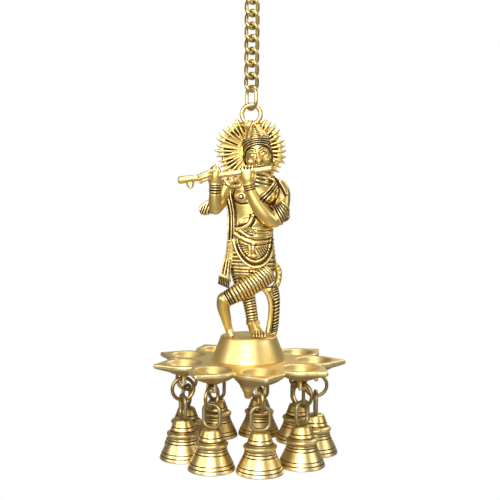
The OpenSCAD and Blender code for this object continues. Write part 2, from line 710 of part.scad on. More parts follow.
// The loop cast on the crown is a square with round corners; it stands across the hanging ring
module bell_loop() {
    side = loop_width / 2;
    low = -loop_height;
    c = loop_corner_r;
    translate([0, 0, loop_height + loop_sink]) rotate([0, 0, 90]) {
        translate([side - c, 0, -c]) wire_arc(c, loop_wire, 0, 90);
        translate([-side + c, 0, -c]) wire_arc(c, loop_wire, 90, 180);
        translate([-side + c, 0, low + c]) wire_arc(c, loop_wire, 180, 270);
        translate([side - c, 0, low + c]) wire_arc(c, loop_wire, 270, 360);
        for (x = [-side, side]) translate([x, 0, low + c]) cylinder(d = loop_wire, h = loop_height - 2 * c);
        for (z = [0, low])
            translate([-side + c, 0, z]) rotate([0, 90, 0]) cylinder(d = loop_wire, h = loop_width - 2 * c);
    }
}

module bell(i) {
    color("goldenrod") at_bell(i) translate([0, 0, bell_crown_z]) {
        bell_body();
        bell_loop();
        translate([0, 0, staple_z]) rotate([0, 0, 90]) wire_ring(staple_r, staple_wire);
    }
}

module clapper(i) {
    color("saddlebrown") at_bell(i) translate([0, 0, bell_crown_z]) {
        translate([0, 0, clapper_eye_z]) wire_ring(clapper_eye_r, staple_wire);
        translate([0, 0, clapper_ball_z])
            cylinder(r = clapper_rod_r, h = clapper_eye_z - clapper_eye_r - clapper_ball_z);
        translate([0, 0, clapper_ball_z]) sphere(clapper_ball_r);
    }
}

function shown(name) = node == "all" || node == name;

if (shown("top_hook")) top_hook();
for (i = [1:link_count]) if (shown(link_names[i - 1])) chain_link(i);
if (shown("connector_link")) connector_link();
if (shown("figure")) figure();
if (shown("pedestal")) pedestal();
if (shown("lamp_dish")) lamp_dish();
if (shown("clamp_stud")) clamp_stud();
if (shown("finial_nut")) finial_nut();
for (i = [1:petal_count]) {
    if (shown(ring_names[i - 1])) bell_ring(i);
    if (shown(bell_names[i - 1])) bell(i);
    if (shown(clapper_names[i - 1])) clapper(i);
}
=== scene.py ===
# Looks of the hanging brass oil lamp. Forms are drawn in millimetres and placed in the frame's metres.
import math
import random

import bmesh
import bpy
import numpy as np
from mathutils import Matrix, Vector
from mathutils.bvhtree import BVHTree
from mathutils.kdtree import KDTree


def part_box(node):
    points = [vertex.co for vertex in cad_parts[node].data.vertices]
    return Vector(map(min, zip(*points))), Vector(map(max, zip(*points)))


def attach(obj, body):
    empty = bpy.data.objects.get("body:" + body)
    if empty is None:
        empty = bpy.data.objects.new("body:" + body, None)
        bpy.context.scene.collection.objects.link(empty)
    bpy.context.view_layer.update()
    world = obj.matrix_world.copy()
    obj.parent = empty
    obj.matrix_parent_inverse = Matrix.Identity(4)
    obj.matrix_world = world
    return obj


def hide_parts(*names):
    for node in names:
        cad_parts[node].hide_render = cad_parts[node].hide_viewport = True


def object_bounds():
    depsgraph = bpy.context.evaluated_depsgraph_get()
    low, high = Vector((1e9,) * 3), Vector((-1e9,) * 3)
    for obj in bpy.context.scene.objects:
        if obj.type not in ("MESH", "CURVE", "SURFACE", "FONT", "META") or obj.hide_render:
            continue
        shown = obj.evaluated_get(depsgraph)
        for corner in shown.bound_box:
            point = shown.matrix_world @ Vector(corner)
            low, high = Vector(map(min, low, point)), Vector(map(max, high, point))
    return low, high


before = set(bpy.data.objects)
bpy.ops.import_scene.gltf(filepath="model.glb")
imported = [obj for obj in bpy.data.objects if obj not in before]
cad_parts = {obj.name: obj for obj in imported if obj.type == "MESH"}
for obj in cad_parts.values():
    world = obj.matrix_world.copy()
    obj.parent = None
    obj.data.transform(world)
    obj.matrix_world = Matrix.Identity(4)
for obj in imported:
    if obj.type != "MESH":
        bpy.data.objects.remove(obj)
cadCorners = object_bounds()
milli = 0.001
petals = 9
links = 8
print("frame loaded,", len(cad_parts), "nodes")


# places read from the frame, in millimetres
def boxOf(node):
    return [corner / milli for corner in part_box(node)]


def middleOf(node):
    low, high = boxOf(node)
    return (low + high) / 2


rimZ = boxOf("pedestal")[0].z
soleZ = boxOf("pedestal")[1].z
dishMiddle = middleOf("pedestal")


# camera and studio

shot = {
    "x": -0.03,
    "back": 700,
    "aboveRim": 132.2,
    "pitch": 0.065,
    "roll": 0.009,
    "focalPixels": 894,
    "pixels": 500,
    "sensor": 36,
}


def buildCamera():
    camera = bpy.data.objects.new("camera", bpy.data.cameras.new("camera"))
    bpy.context.scene.collection.objects.link(camera)
    camera.data.sensor_width = shot["sensor"]
    camera.data.lens = shot["sensor"] * shot["focalPixels"] / shot["pixels"]
    place = Vector((shot["x"], -shot["back"], rimZ + shot["aboveRim"])) * milli
    turn = Matrix.Rotation(math.pi / 2 - shot["pitch"], 4, "X") @ Matrix.Rotation(shot["roll"], 4, "Z")
    camera.matrix_world = Matrix.Translation(place) @ turn
    bpy.context.scene.camera = camera


studio = {
    "paper": (0.35, 0.35, 0.34, 1),
    "paperRough": 0.9,
    "paperShine": 0.1,
    "seen": 1.0,
    "surround": 0.17,
    "floorDrop": 0.16,
    "floorFront": -2.5,
    "wallBack": 0.9,
    "wallHeight": 3.5,
    "halfWidth": 2.5,
    "bendRadius": 0.6,
    "bendSteps": 16,
    # name, place, aim, size and power
    "lamps": [
        ("front", (-0.15, -1.10, 0.15), (0, 0, -0.27), 0.80, 15),
        ("left", (-0.95, -0.45, 0.10), (0, 0, -0.25), 0.50, 3),
        ("right", (0.95, -0.35, 0.05), (0, 0, -0.25), 0.50, 2.5),
        ("top", (0.05, -0.15, 0.80), (0, 0, -0.3), 0.60, 5),
        ("back", (0.40, 0.60, 0.35), (0, 0, -0.25), 0.50, 2.5),
    ],
}


# the paper and the room look pale in the picture, and light the metal less than they look
def paleToCamera(tree, lit):
    ray = tree.nodes.new("ShaderNodeLightPath").outputs["Is Camera Ray"]
    glow = tree.nodes.new("ShaderNodeEmission")
    glow.inputs["Strength"].default_value = studio["seen"]
    both = tree.nodes.new("ShaderNodeMixShader")
    tree.links.new(ray, both.inputs[0])
    tree.links.new(lit, both.inputs[1])
    tree.links.new(glow.outputs[0], both.inputs[2])
    return both.outputs[0]


def buildStudio():
    world = bpy.data.worlds.new("surround")
    bpy.context.scene.world = world
    world.use_nodes = True
    room = world.node_tree.nodes["Background"]
    room.inputs["Color"].default_value = (1, 1, 1, 1)
    room.inputs["Strength"].default_value = studio["surround"]
    seen = paleToCamera(world.node_tree, room.outputs[0])
    world.node_tree.links.new(seen, world.node_tree.nodes["World Output"].inputs["Surface"])
    bpy.context.scene.view_settings.view_transform = "Standard"

    # one sheet of paper: a floor that rolls up into a wall
    low = cadCorners[0].z - studio["floorDrop"]
    half = studio["halfWidth"]
    back = studio["wallBack"]
    outline = ((studio["floorFront"], low), (back, low), (back, low + studio["wallHeight"]))
    bm = bmesh.new()
    corners = [bm.verts.new((-half, y, z)) for y, z in outline]
    run = [bm.edges.new(pair) for pair in zip(corners, corners[1:])]
    across = bmesh.ops.extrude_edge_only(bm, edges=run)["geom"]
    far = [g for g in across if isinstance(g, bmesh.types.BMVert)]
    bmesh.ops.translate(bm, verts=far, vec=(2 * half, 0, 0))
    fold = [e for e in bm.edges if all(abs(v.co.z - low) < 1e-6 and v.co.y > 0 for v in e.verts)]
    bmesh.ops.bevel(
        bm, geom=fold, offset=studio["bendRadius"], segments=studio["bendSteps"],
        profile=0.5, affect="EDGES", material=-1,
    )
    paper = pieceFrom("paper_sweep", bm)
    paper.data.materials.append(paperFinish())

    for name, place, aim, size, watts in studio["lamps"]:
        lamp = bpy.data.objects.new(name, bpy.data.lights.new(name, "AREA"))
        bpy.context.scene.collection.objects.link(lamp)
        lamp.data.size = size
        lamp.data.energy = watts
        lamp.location = place
        lamp.rotation_euler = (Vector(aim) - Vector(place)).to_track_quat("-Z", "Y").to_euler()


def paperFinish():
    finish = bpy.data.materials.new("paper")
    finish.use_nodes = True
    tree = finish.node_tree
    shader = tree.nodes["Principled BSDF"]
    shader.inputs["Base Color"].default_value = studio["paper"]
    shader.inputs["Roughness"].default_value = studio["paperRough"]
    shader.inputs["Specular IOR Level"].default_value = studio["paperShine"]
    seen = paleToCamera(tree, shader.outputs[0])
    tree.links.new(seen, tree.nodes["Material Output"].inputs["Surface"])
    return finish


# shared modelling


def pieceFrom(name, bm, sharpAngle=None):
    bmesh.ops.recalc_face_normals(bm, faces=bm.faces)
    mesh = bpy.data.meshes.new(name)
    bm.to_mesh(mesh)
    bm.free()
    mesh.shade_smooth()
    if sharpAngle:
        mesh.set_sharp_from_angle(angle=math.radians(sharpAngle))
    piece = bpy.data.objects.new(name, mesh)
    bpy.context.scene.collection.objects.link(piece)
    return piece


# the same shape again, turned
def copyOf(pattern, name, turn=Matrix.Identity(4)):
    piece = bpy.data.objects.new(name, pattern.data.copy())
    piece.data.name = name
    piece.data.transform(turn)
    bpy.context.scene.collection.objects.link(piece)
    return piece


def removePattern(pattern):
    bpy.data.meshes.remove(pattern.data)


# a smooth run through given stations, of any number of values each
def sample(stations, t):
    last = len(stations) - 1
    q = min(t * last, last - 1e-6)
    i = int(q)
    f = q - i
    a, b, c, d = (np.array(stations[min(max(k, 0), last)], float) for k in (i - 1, i, i + 1, i + 2))
    return 0.5 * (2 * b + (c - a) * f + (2 * a - 5 * b + 4 * c - d) * f**2 + (3 * b - a - 3 * c + d) * f**3)


def smoothRun(stations, steps):
    return [sample(stations, k / steps) for k in range(steps + 1)]


winding = {"steps": 8, "fullness": 0.7}


# the same run with a row of round cords wound across it
def woundRun(stations, cords, depth):
    steps = winding["steps"]
    run = smoothRun(stations, cords * steps)
    for k, row in enumerate(run):
        row[3:5] -= depth * (1 - abs(math.sin(math.pi * k / steps)) ** winding["fullness"])
    return run


def ringPlace(run, k, side):
    here = Vector(run[k][:3])
    along = Vector(run[min(k + 1, len(run) - 1)][:3]) - Vector(run[max(k - 1, 0)][:3])
    along.normalize()
    across = along.cross(Vector(side)).normalized()
    sideways = across.cross(along)
    wide, deep = float(run[k][3]), float(run[k][4])
    turn = Matrix((sideways * wide, across * deep, along)).transposed().to_4x4()
    return Matrix.Translation(here) @ turn


# a shape made apart joins the others
def join(bm, part):
    mesh = bpy.data.meshes.new("part")
    part.to_mesh(mesh)
    part.free()
    bm.from_mesh(mesh)
    bpy.data.meshes.remove(mesh)


# a capped skin through rings (x, y, z, half width along side, half depth)
def loft(bm, run, side=(1, 0, 0), sides=24):
    part = bmesh.new()
    places = [ringPlace(run, k, side) for k in range(len(run))]
    start = bmesh.ops.create_circle(part, cap_ends=True, segments=sides, radius=1, matrix=places[0])
    edges = list({e for v in start["verts"] for e in v.link_edges})
    for before, here in zip(places, places[1:]):
        grown = bmesh.ops.extrude_edge_only(part, edges=edges)["geom"]
        ring = [g for g in grown if isinstance(g, bmesh.types.BMVert)]
        kept = set(ring)
        edges = [g for g in grown if isinstance(g, bmesh.types.BMEdge) and kept.issuperset(g.verts)]
        bmesh.ops.transform(part, matrix=here @ before.inverted(), verts=ring)
    bmesh.ops.contextual_create(part, geom=edges)
    join(bm, part)


# a round cord through points; two radii taper it
def cord(bm, points, radius, endRadius=None, side=(0, 1, 0), sides=8):
    last = len(points) - 1
    end = radius if endRadius is None else endRadius
    run = [(*p, *[radius + (end - radius) * k / last] * 2) for k, p in enumerate(points)]
    loft(bm, run, side, sides)


def ball(bm, centre, radii, segments=20):
    part = bmesh.new()
    shape = Matrix.Translation(Vector(centre)) @ Matrix.Diagonal((*radii, 1))
    bmesh.ops.create_uvsphere(part, u_segments=segments, v_segments=segments // 2, radius=1, matrix=shape)
    join(bm, part)


# a round wire bent to a ring; turn brings it from the XY plane to its place
def hoop(bm, turn, radius, wire, steps=48, sides=12):
    part = bmesh.new()
    upright = Matrix.Translation((radius, 0, 0)) @ Matrix.Rotation(math.pi / 2, 4, "X")
    start = bmesh.ops.create_circle(part, segments=sides, radius=wire / 2, matrix=upright)
    bmesh.ops.spin(
        part, geom=start["verts"] + part.edges[:], axis=(0, 0, 1), cent=(0, 0, 0),
        angle=2 * math.pi, steps=steps, use_merge=True,
    )
    bmesh.ops.transform(part, matrix=turn, verts=part.verts)
    join(bm, part)


# a wire of one thickness round a closed path
def closedWire(bm, path, radius, side, sides=12):
    part = bmesh.new()
    count = len(path)
    run = [(*path[(k - 1) % count], radius, radius) for k in range(count + 2)]
    rings = []
    for k in range(1, count + 1):
        sideHere = side(k - 1) if callable(side) else side
        made = bmesh.ops.create_circle(part, segments=sides, radius=1, matrix=ringPlace(run, k, sideHere))
        rings.append(list({e for v in made["verts"] for e in v.link_edges}))
    for k in range(count):
        bmesh.ops.bridge_loops(part, edges=rings[k] + rings[(k + 1) % count])
    join(bm, part)


# a turned form from an outline of (radius, height)
def lathe(bm, outline, steps=72):
    corners = [bm.verts.new((r, 0, z)) for r, z in outline]
    run = [bm.edges.new(pair) for pair in zip(corners, corners[1:])]
    bmesh.ops.spin(
        bm, geom=corners + run, axis=(0, 0, 1), cent=(0, 0, 0),
        angle=2 * math.pi, steps=steps, use_merge=True,
    )
    bmesh.ops.remove_doubles(bm, verts=bm.verts, dist=1e-5)


# the same outline with no step longer than gap
def finer(outline, gap):
    dense = []
    for (r, z), (r2, z2) in zip(outline, outline[1:]):
        count = max(1, math.ceil(math.dist((r, z), (r2, z2)) / gap))
        dense += [(r + (r2 - r) * k / count, z + (z2 - z) * k / count) for k in range(count)]
    return dense + [outline[-1]]


def arc(middle, radius, start, end, count):
    turns = [math.radians(start + (end - start) * k / count) for k in range(count + 1)]
    return [(middle[0] + radius * math.cos(a), middle[1] + radius * math.sin(a)) for a in turns]


drawing = {"from": -80, "nearest": -6, "gap": 0.3}


# a line drawn in the front view, laid on the skin behind it
def drawn(tree, marks, steps, lift=0.0):
    spots = []
    for x, z in smoothRun(marks, steps):
        hit = tree.ray_cast(Vector((x, drawing["from"], z)), Vector((0, 1, 0)))[0]
        if hit is None:
            hit = tree.find_nearest(Vector((x, drawing["nearest"], z)))[0]
        spots.append(hit - Vector((0, lift, 0)))
    return spots


# closed forms that overlap become one cast skin
def fuse(name, bm, voxel, rounds=1):
    piece = pieceFrom(name, bm)
    cast = piece.modifiers.new("cast", "REMESH")
    cast.mode = "VOXEL"
    cast.voxel_size = voxel
    solid = bpy.data.meshes.new_from_object(piece.evaluated_get(bpy.context.evaluated_depsgraph_get()))
    piece.modifiers.clear()
    raw, piece.data = piece.data, solid
    bpy.data.meshes.remove(raw)
    bm = bmesh.new()
    bm.from_mesh(solid)
    for _ in range(rounds):
        bmesh.ops.smooth_vert(
            bm, verts=bm.verts, factor=0.5, use_axis_x=True, use_axis_y=True, use_axis_z=True,
        )
    bm.to_mesh(solid)
    bm.free()
    solid.name = name
    solid.shade_smooth()
    return piece


# how far each point lies under the smoothed skin: hollows count up, raised lines down
def markRelief(mesh, rounds=14, full=0.45):
    count = len(mesh.vertices)
    spots = np.empty(count * 3)
    mesh.vertices.foreach_get("co", spots)
    spots = spots.reshape(-1, 3)
    normals = np.empty(count * 3)
    mesh.vertex_normals.foreach_get("vector", normals)
    normals = normals.reshape(-1, 3)
    ends = np.empty(len(mesh.edges) * 2, np.int32)
    mesh.edges.foreach_get("vertices", ends)
    a, b = ends[::2], ends[1::2]
    degree = np.maximum(np.bincount(ends, minlength=count), 1)[:, None]
    soft = spots.copy()
    for _ in range(rounds):
        near = [np.bincount(a, soft[b, k], count) + np.bincount(b, soft[a, k], count) for k in range(3)]
        soft = 0.5 * soft + 0.5 * np.column_stack(near) / degree
    under = np.einsum("ij,ij->i", soft - spots, normals) / full
    relief = mesh.attributes.new("relief", "FLOAT", "POINT")
    relief.data.foreach_set("value", np.clip(under, -1, 1).astype(np.float32))


def skinOf(piece):
    bm = bmesh.new()
    bm.from_mesh(piece.data)
    tree = BVHTree.FromBMesh(bm)
    bm.free()
    return tree


# points close together along lines drawn in the front view
def cutSpots(tree, lines):
    spots = []
    for marks in lines:
        length = sum(math.dist(a, b) for a, b in zip(marks, marks[1:]))
        spots += drawn(tree, marks, max(4, round(length / drawing["gap"])))
    return spots


# points close together round some of a run's rings
def ringCuts(run, marks, side):
    turns = np.linspace(0, 2 * math.pi, 120)
    return [ringPlace(run, k, side) @ Vector((math.cos(a), math.sin(a), 0)) for k in marks for a in turns]


# a limb wrapped in cords, with a cut between each two
def wind(bm, cuts, stations, cords, depth, side, sides):
    run = woundRun(stations, cords, depth)
    loft(bm, run, side, sides)
    cuts += ringCuts(run, range(winding["steps"], len(run) - 1, winding["steps"]), side)


inkSpread = 1.25


# the skin sinks along each pass of cuts and is marked there with ink
def engrave(piece, passes):
    bm = bmesh.new()
    bm.from_mesh(piece.data)
    inkAndShade = bm.verts.layers.float.new("inkAndShade")
    for cuts, wide, deep in passes:
        tree = KDTree(len(cuts))
        for k, spot in enumerate(cuts):
            tree.insert(spot, k)
        tree.balance()
        for v in bm.verts:
            away = (tree.find(v.co)[2] / wide) ** 2
            v[inkAndShade] = max(v[inkAndShade], math.exp(-away / inkSpread))
            v.co -= v.normal * deep * math.exp(-away)
    bm.to_mesh(piece.data)
    bm.free()


# millimetres to the frame's metres, then on to its body
def place(piece, body, finish, slot, replaced, shift=(0, 0, 0)):
    piece.data.transform(Matrix.Scale(milli, 4) @ Matrix.Translation(Vector(shift)))
    piece.data.materials.clear()
    piece.data.materials.append(finish)
    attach(piece, body)
    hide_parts(*replaced)
    return piece


# shader groups


def newGroup(name, inputs, outputs):
    group = bpy.data.node_groups.new(name, "ShaderNodeTree")
    for label, value in inputs:
        socket = group.interface.new_socket(label, in_out="INPUT", socket_type="NodeSocketFloat")
        socket.default_value = value
    for label in outputs:
        group.interface.new_socket(label, in_out="OUTPUT", socket_type="NodeSocketFloat")
    return group, group.nodes.new("NodeGroupInput"), group.nodes.new("NodeGroupOutput")


def math2(tree, operation, first, second, clamp=False):
    node = tree.nodes.new("ShaderNodeMath")
    node.operation = operation
    node.use_clamp = clamp
    for socket, value in zip(node.inputs, (first, second)):
        if isinstance(value, (int, float)):
            socket.default_value = value
        else:
            tree.links.new(value, socket)
    return node.outputs[0]


def spread(tree, value, low, high, newLow=0.0, newHigh=1.0):
    node = tree.nodes.new("ShaderNodeMapRange")
    tree.links.new(value, node.inputs["Value"])
    for label, number in zip(("From Min", "From Max", "To Min", "To Max"), (low, high, newLow, newHigh)):
        node.inputs[label].default_value = number
    return node.outputs["Result"]


def grainNoise(tree, scale, detail=3.0):
    where = tree.nodes.new("ShaderNodeTexCoord").outputs["Object"]
    node = tree.nodes.new("ShaderNodeTexNoise")
    node.inputs["Detail"].default_value = detail
    tree.links.new(where, node.inputs["Vector"])
    if isinstance(scale, (int, float)):
        node.inputs["Scale"].default_value = scale
    else:
        tree.links.new(scale, node.inputs["Scale"])
    return node.outputs["Fac"]


# what the piece carries for each point: relief, or ink together with the painted shade of the dish's
# underside
def ownMark(tree, name):
    node = tree.nodes.new("ShaderNodeAttribute")
    node.attribute_name = name
    return node.outputs["Fac"]


patinaAndShade = {
    "samples": 12,
    # the occlusion range that turns into painted shade
    "corners": (0.80, 0.25),
    "hollows": (0.10, 0.55),
    "cutsAndShade": (0.12, 0.62),
    "raised": (-0.06, -0.5),
    "patchScale": 160.0,
    "patches": (0.3, 0.7, 0.72, 1.15),
    "waveDetail": 4.0,
    "pitScale": 1400,
    "pits": (0.0, 0.35, -1.0, 0.0),
    "mottleGrain": (55.0, 5.0),
    "mottle": (0.3, 0.72),
}


# brown tarnish in hollows and cut lines, and painted shade: occlusion in corners and between parts is
# darkened to the same brown
def tarnishAndShadeGroup():
    group, given, out = newGroup("tarnishAndShade", [("Reach", 0.003), ("Amount", 1.0)], ["Mask"])
    shade = group.nodes.new("ShaderNodeAmbientOcclusion")
    shade.only_local = True
    shade.samples = patinaAndShade["samples"]
    group.links.new(given.outputs["Reach"], shade.inputs["Distance"])
    # painted shade: the brass darkens where nearby parts hide the surroundings
    corners = spread(group, shade.outputs["AO"], *patinaAndShade["corners"])
    hollows = spread(group, ownMark(group, "relief"), *patinaAndShade["hollows"])
    patchy = spread(group, grainNoise(group, patinaAndShade["patchScale"]), *patinaAndShade["patches"])
    agedAndShaded = math2(group, "MULTIPLY", math2(group, "MAXIMUM", corners, hollows), patchy)
    # the cut lines' ink, and on the dish the painted shade of its underside
    cutsAndShade = spread(group, ownMark(group, "inkAndShade"), *patinaAndShade["cutsAndShade"])
    both = math2(group, "MAXIMUM", agedAndShaded, cutsAndShade)
    mask = math2(group, "MULTIPLY", both, given.outputs["Amount"], clamp=True)
    group.links.new(mask, out.inputs["Mask"])
    return group


# brighter metal where hands and cloths rub
def rubbedGroup():
    group, given, out = newGroup("rubbed", [("Amount", 1.0)], ["Mask"])
    raised = spread(group, ownMark(group, "relief"), *patinaAndShade["raised"])
    mask = math2(group, "MULTIPLY", raised, given.outputs["Amount"], clamp=True)
    group.links.new(mask, out.inputs["Mask"])
    return group


# sand-cast skin: soft waviness with small pits
def castSkinGroup():
    group, given, out = newGroup("castSkin", [("Scale", 900.0), ("Pits", 0.3)], ["Height", "Mottle"])
    waves = grainNoise(group, given.outputs["Scale"], patinaAndShade["waveDetail"])
    pits = group.nodes.new("ShaderNodeTexVoronoi")
    pits.inputs["Scale"].default_value = patinaAndShade["pitScale"]
    where = group.nodes.new("ShaderNodeTexCoord").outputs["Object"]
    group.links.new(where, pits.inputs["Vector"])
    holes = spread(group, pits.outputs["Distance"], *patinaAndShade["pits"])
    height = math2(group, "ADD", waves, math2(group, "MULTIPLY", holes, given.outputs["Pits"]))
    group.links.new(height, out.inputs["Height"])
    mottle = spread(group, grainNoise(group, *patinaAndShade["mottleGrain"]), *patinaAndShade["mottle"])
    group.links.new(mottle, out.inputs["Mottle"])
    return group


groups = {"tarnishAndShade": tarnishAndShadeGroup(), "rubbed": rubbedGroup(), "castSkin": castSkinGroup()}


def addGroup(tree, name, **values):
    node = tree.nodes.new("ShaderNodeGroup")
    node.node_tree = groups[name]
    for label, value in values.items():
        node.inputs[label].default_value = value
    return node.outputs


def mixed(tree, factor, first, second):
    node = tree.nodes.new("ShaderNodeMix")
    node.data_type = "RGBA"
    tree.links.new(factor, node.inputs["Factor"])
    for label, value in (("A", first), ("B", second)):
        socket = next(s for s in node.inputs if s.name == label and s.type == "RGBA")
        if isinstance(value, tuple):
            socket.default_value = value
        else:
            tree.links.new(value, socket)
    return next(s for s in node.outputs if s.type == "RGBA")


def brassFinish(name, look):
    finish = bpy.data.materials.new(name)
    finish.use_nodes = True
    tree = finish.node_tree
    shader = tree.nodes["Principled BSDF"]
    skin = addGroup(tree, "castSkin", Scale=look["grain"], Pits=look["pits"])
    tarnishAndShade = addGroup(tree, "tarnishAndShade", Reach=look["reach"], Amount=look["tarnishAndShade"])["Mask"]
    rubbed = addGroup(tree, "rubbed", Amount=look["rubbed"])["Mask"]
    colour = mixed(tree, skin["Mottle"], look["bright"], look["deep"])
    colour = mixed(tree, rubbed, colour, look["worn"])
    # the tarnish brown also paints shade in corners, between parts and on the dish's underside
    colour = mixed(tree, tarnishAndShade, colour, look["tarnishAndShadeBrown"])
    tree.links.new(colour, shader.inputs["Base Color"])
    shader.inputs["Metallic"].default_value = 1.0
    roughRange = [look["rough"] + change for change in look["roughChange"]]
    rough = spread(tree, skin["Mottle"], 0.0, 1.0, *roughRange)
    rough = math2(tree, "ADD", rough, math2(tree, "MULTIPLY", tarnishAndShade, look["tarnishAndShadeRough"]))
    smoother = math2(tree, "MULTIPLY", rubbed, look["rubbedSmooth"])
    rough = math2(tree, "SUBTRACT", rough, smoother, clamp=True)
    tree.links.new(rough, shader.inputs["Roughness"])
    bump = tree.nodes.new("ShaderNodeBump")
    bump.inputs["Strength"].default_value = look["bump"]
    bump.inputs["Distance"].default_value = look["bumpDepth"]
    tree.links.new(skin["Height"], bump.inputs["Height"])
    tree.links.new(bump.outputs["Normal"], shader.inputs["Normal"])
    return finish


baseLook = {
    "bright": (0.87, 0.65, 0.24, 1),
    "deep": (0.72, 0.47, 0.11, 1),
    "worn": (0.96, 0.80, 0.43, 1),
    "tarnishAndShadeBrown": (0.045, 0.025, 0.010, 1),
    "rough": 0.37,
    "roughChange": (-0.04, 0.06),
    "tarnishAndShadeRough": 0.25,
    "rubbedSmooth": 0.06,
    "reach": 0.005,
    "tarnishAndShade": 1.0,
    "rubbed": 0.8,
    "grain": 700.0,
    "pits": 0.25,
    "bump": 0.25,
    "bumpDepth": 0.0002,
}
pale = {"bright": (0.92, 0.70, 0.29, 1), "deep": (0.78, 0.55, 0.18, 1)}
khaki = {"bright": (0.74, 0.58, 0.25, 1), "deep": (0.50, 0.37, 0.14, 1)}
# painted shade: the rings hung under the cups take a darker, browner copy of the brass
shadedRing = {"bright": (0.50, 0.34, 0.12, 1), "deep": (0.28, 0.175, 0.06, 1)}
golden = {"bright": (0.86, 0.62, 0.19, 1), "deep": (0.68, 0.44, 0.10, 1)}
shaded = {"bright": (0.58, 0.39, 0.12, 1), "deep": (0.40, 0.25, 0.07, 1), "worn": (0.8, 0.6, 0.25, 1)}
dark = {"bright": (0.3, 0.2, 0.09, 1), "deep": (0.2, 0.13, 0.05, 1)}
finishes = {
    "figure": brassFinish("antique_brass", baseLook),
    "dish": brassFinish("polished_brass", baseLook | pale | {"tarnishAndShade": 0.75, "rough": 0.44}),
    "chain": brassFinish("chain_brass", baseLook | khaki | {"reach": 0.003, "rough": 0.32}),
    # painted shade: the ring brass is darker and browner than the bells
    "ring": brassFinish("ring_brass", baseLook | shadedRing | {"reach": 0.003, "rough": 0.34}),
    "bell": brassFinish("bell_brass", baseLook | golden | {"reach": 0.0025, "rough": 0.38}),
    # painted shade: a darker, browner copy of the bell brass for the bells hung behind
    "shadedBell": brassFinish("shaded_bell_brass", baseLook | shaded | {"reach": 0.0025, "rough": 0.42}),
    "clapper": brassFinish("dark_brass", baseLook | dark),
}
print("finishes made,", len(finishes))


# figure, in its own frame: soles at zero, x to the viewer's right, the front towards -y

figurePlace = {"x": 1.0, "y": -0.6}
figureShift = (figurePlace["x"], figurePlace["y"], soleZ)
sideX, sideY, sideZ = (1, 0, 0), (0, 1, 0), (0, 0, 1)
facing = Matrix.Rotation(math.pi / 2, 4, "X")


def finishFigure(piece, rounds=14):
    markRelief(piece.data, rounds)
    place(piece, "lamp", finishes["figure"], "antique_brass", ["figure"], figureShift)


def limb(bm, stations, steps, sides, side=sideX):
    loft(bm, smoothRun(stations, steps), side, sides)


# points close together round a circle
def circleCuts(turn, radius, count, up=0.0, end=6.2):
    turns = np.linspace(0, end, count)
    return [turn @ Vector((radius * math.cos(a), radius * math.sin(a), up)) for a in turns]


# a cord laid on the skin along a line drawn in the front view
def laid(bm, tree, marks, steps, lift, radius, sides=10):
    cord(bm, drawn(tree, marks, steps, lift), radius, sides=sides)


# brings the upright axis to a place and along a direction
def aimed(place, along):
    return Matrix.Translation(Vector(place)) @ Vector(along).to_track_quat("Z", "Y").to_matrix().to_4x4()


halo = {
    "centre": (-1, 3, 145),
    "seed": 11,
    "rays": 38,
    "jitter": 0.12,
    "reach": (-2.2, 0.2),
    "reachAt": 25,
    "bend": 1.1,
    # degrees to each side of the eye, and how much shorter the rays are there
    "underEye": (15, -4.5),
    # distance out, half width and half depth of a ray, and of its point
    "leaf": [
        (9, 0.75, 1), (13, 0.95, 1.3), (18, 1.45, 1.6),
        (21.5, 1.95, 1.75), (24, 2.2, 1.6), (26, 1.5, 1.2),
    ],
    "tip": (28.8, 0.4, 0.5),
    # depth and radius
    "disc": [(-0.5, 21), (0, 23), (1.4, 23.6), (1.8, 22.6)],
    "slots": ((11.5, 21), (15.6, 20.4)),
    "slotY": -1.2,
    "slotCut": (0.52, 0.8),
    "eyeRadius": 7.4,
    "eyeWire": 3.5,
    "eyeDepth": 1.12,
    "eyeTurn": -10,
    "eyePlace": (-1, 0.6, 173.25),
    "eyeRoot": ((0, 0.6, -8.4), (6.2, 3.2, 3.6)),
    "voxel": 0.34,
}


def buildHalo():
    bm = bmesh.new()
    cuts = []
    dice = random.Random(halo["seed"])
    middle = Vector(halo["centre"])
    tip, tipWide, tipDeep = halo["tip"]
    eyeAngle, eyeReach = halo["underEye"]
    for k in range(halo["rays"]):
        turn = 2 * math.pi * (k + dice.uniform(-halo["jitter"], halo["jitter"])) / halo["rays"]
        outward = Vector((math.cos(turn), 0, math.sin(turn)))
        along = Vector((-math.sin(turn), 0, math.cos(turn)))
        # rays end in bent points, and stop short under the eye
        reach = dice.uniform(*halo["reach"])
        bend = dice.uniform(-halo["bend"], halo["bend"])
        if outward.z > math.cos(math.radians(eyeAngle)):
            reach = eyeReach
        run = [(*(middle + outward * (r + reach * r / halo["reachAt"])), w, d) for r, w, d in halo["leaf"]]
        run.append((*(middle + outward * (tip + reach) + along * bend), tipWide, tipDeep))
        loft(bm, run, along, 6)
        # a slot beside every ray, long and short in turn
        aside = turn + math.pi / halo["rays"]
        first, last = halo["slots"][k % 2]
        for r in np.linspace(first, last, 40):
            cuts.append(middle + Vector((r * math.cos(aside), halo["slotY"], r * math.sin(aside))))
    loft(bm, [(*(middle + Vector((0, y, 0))), r, r) for y, r in halo["disc"]], sideX, 64)
    eye = Vector(halo["eyePlace"])
    upright = Matrix.Rotation(math.radians(halo["eyeTurn"]), 4, "Z") @ facing
    deeper = Matrix.Diagonal((1, 1, halo["eyeDepth"], 1))
    hoop(bm, Matrix.Translation(eye) @ upright @ deeper, halo["eyeRadius"], halo["eyeWire"], 48, 16)
    root, radii = halo["eyeRoot"]
    ball(bm, eye + Vector(root), radii)
    piece = fuse("figure_halo", bm, halo["voxel"], 1)
    engrave(piece, [(cuts, *halo["slotCut"])])
    finishFigure(piece)


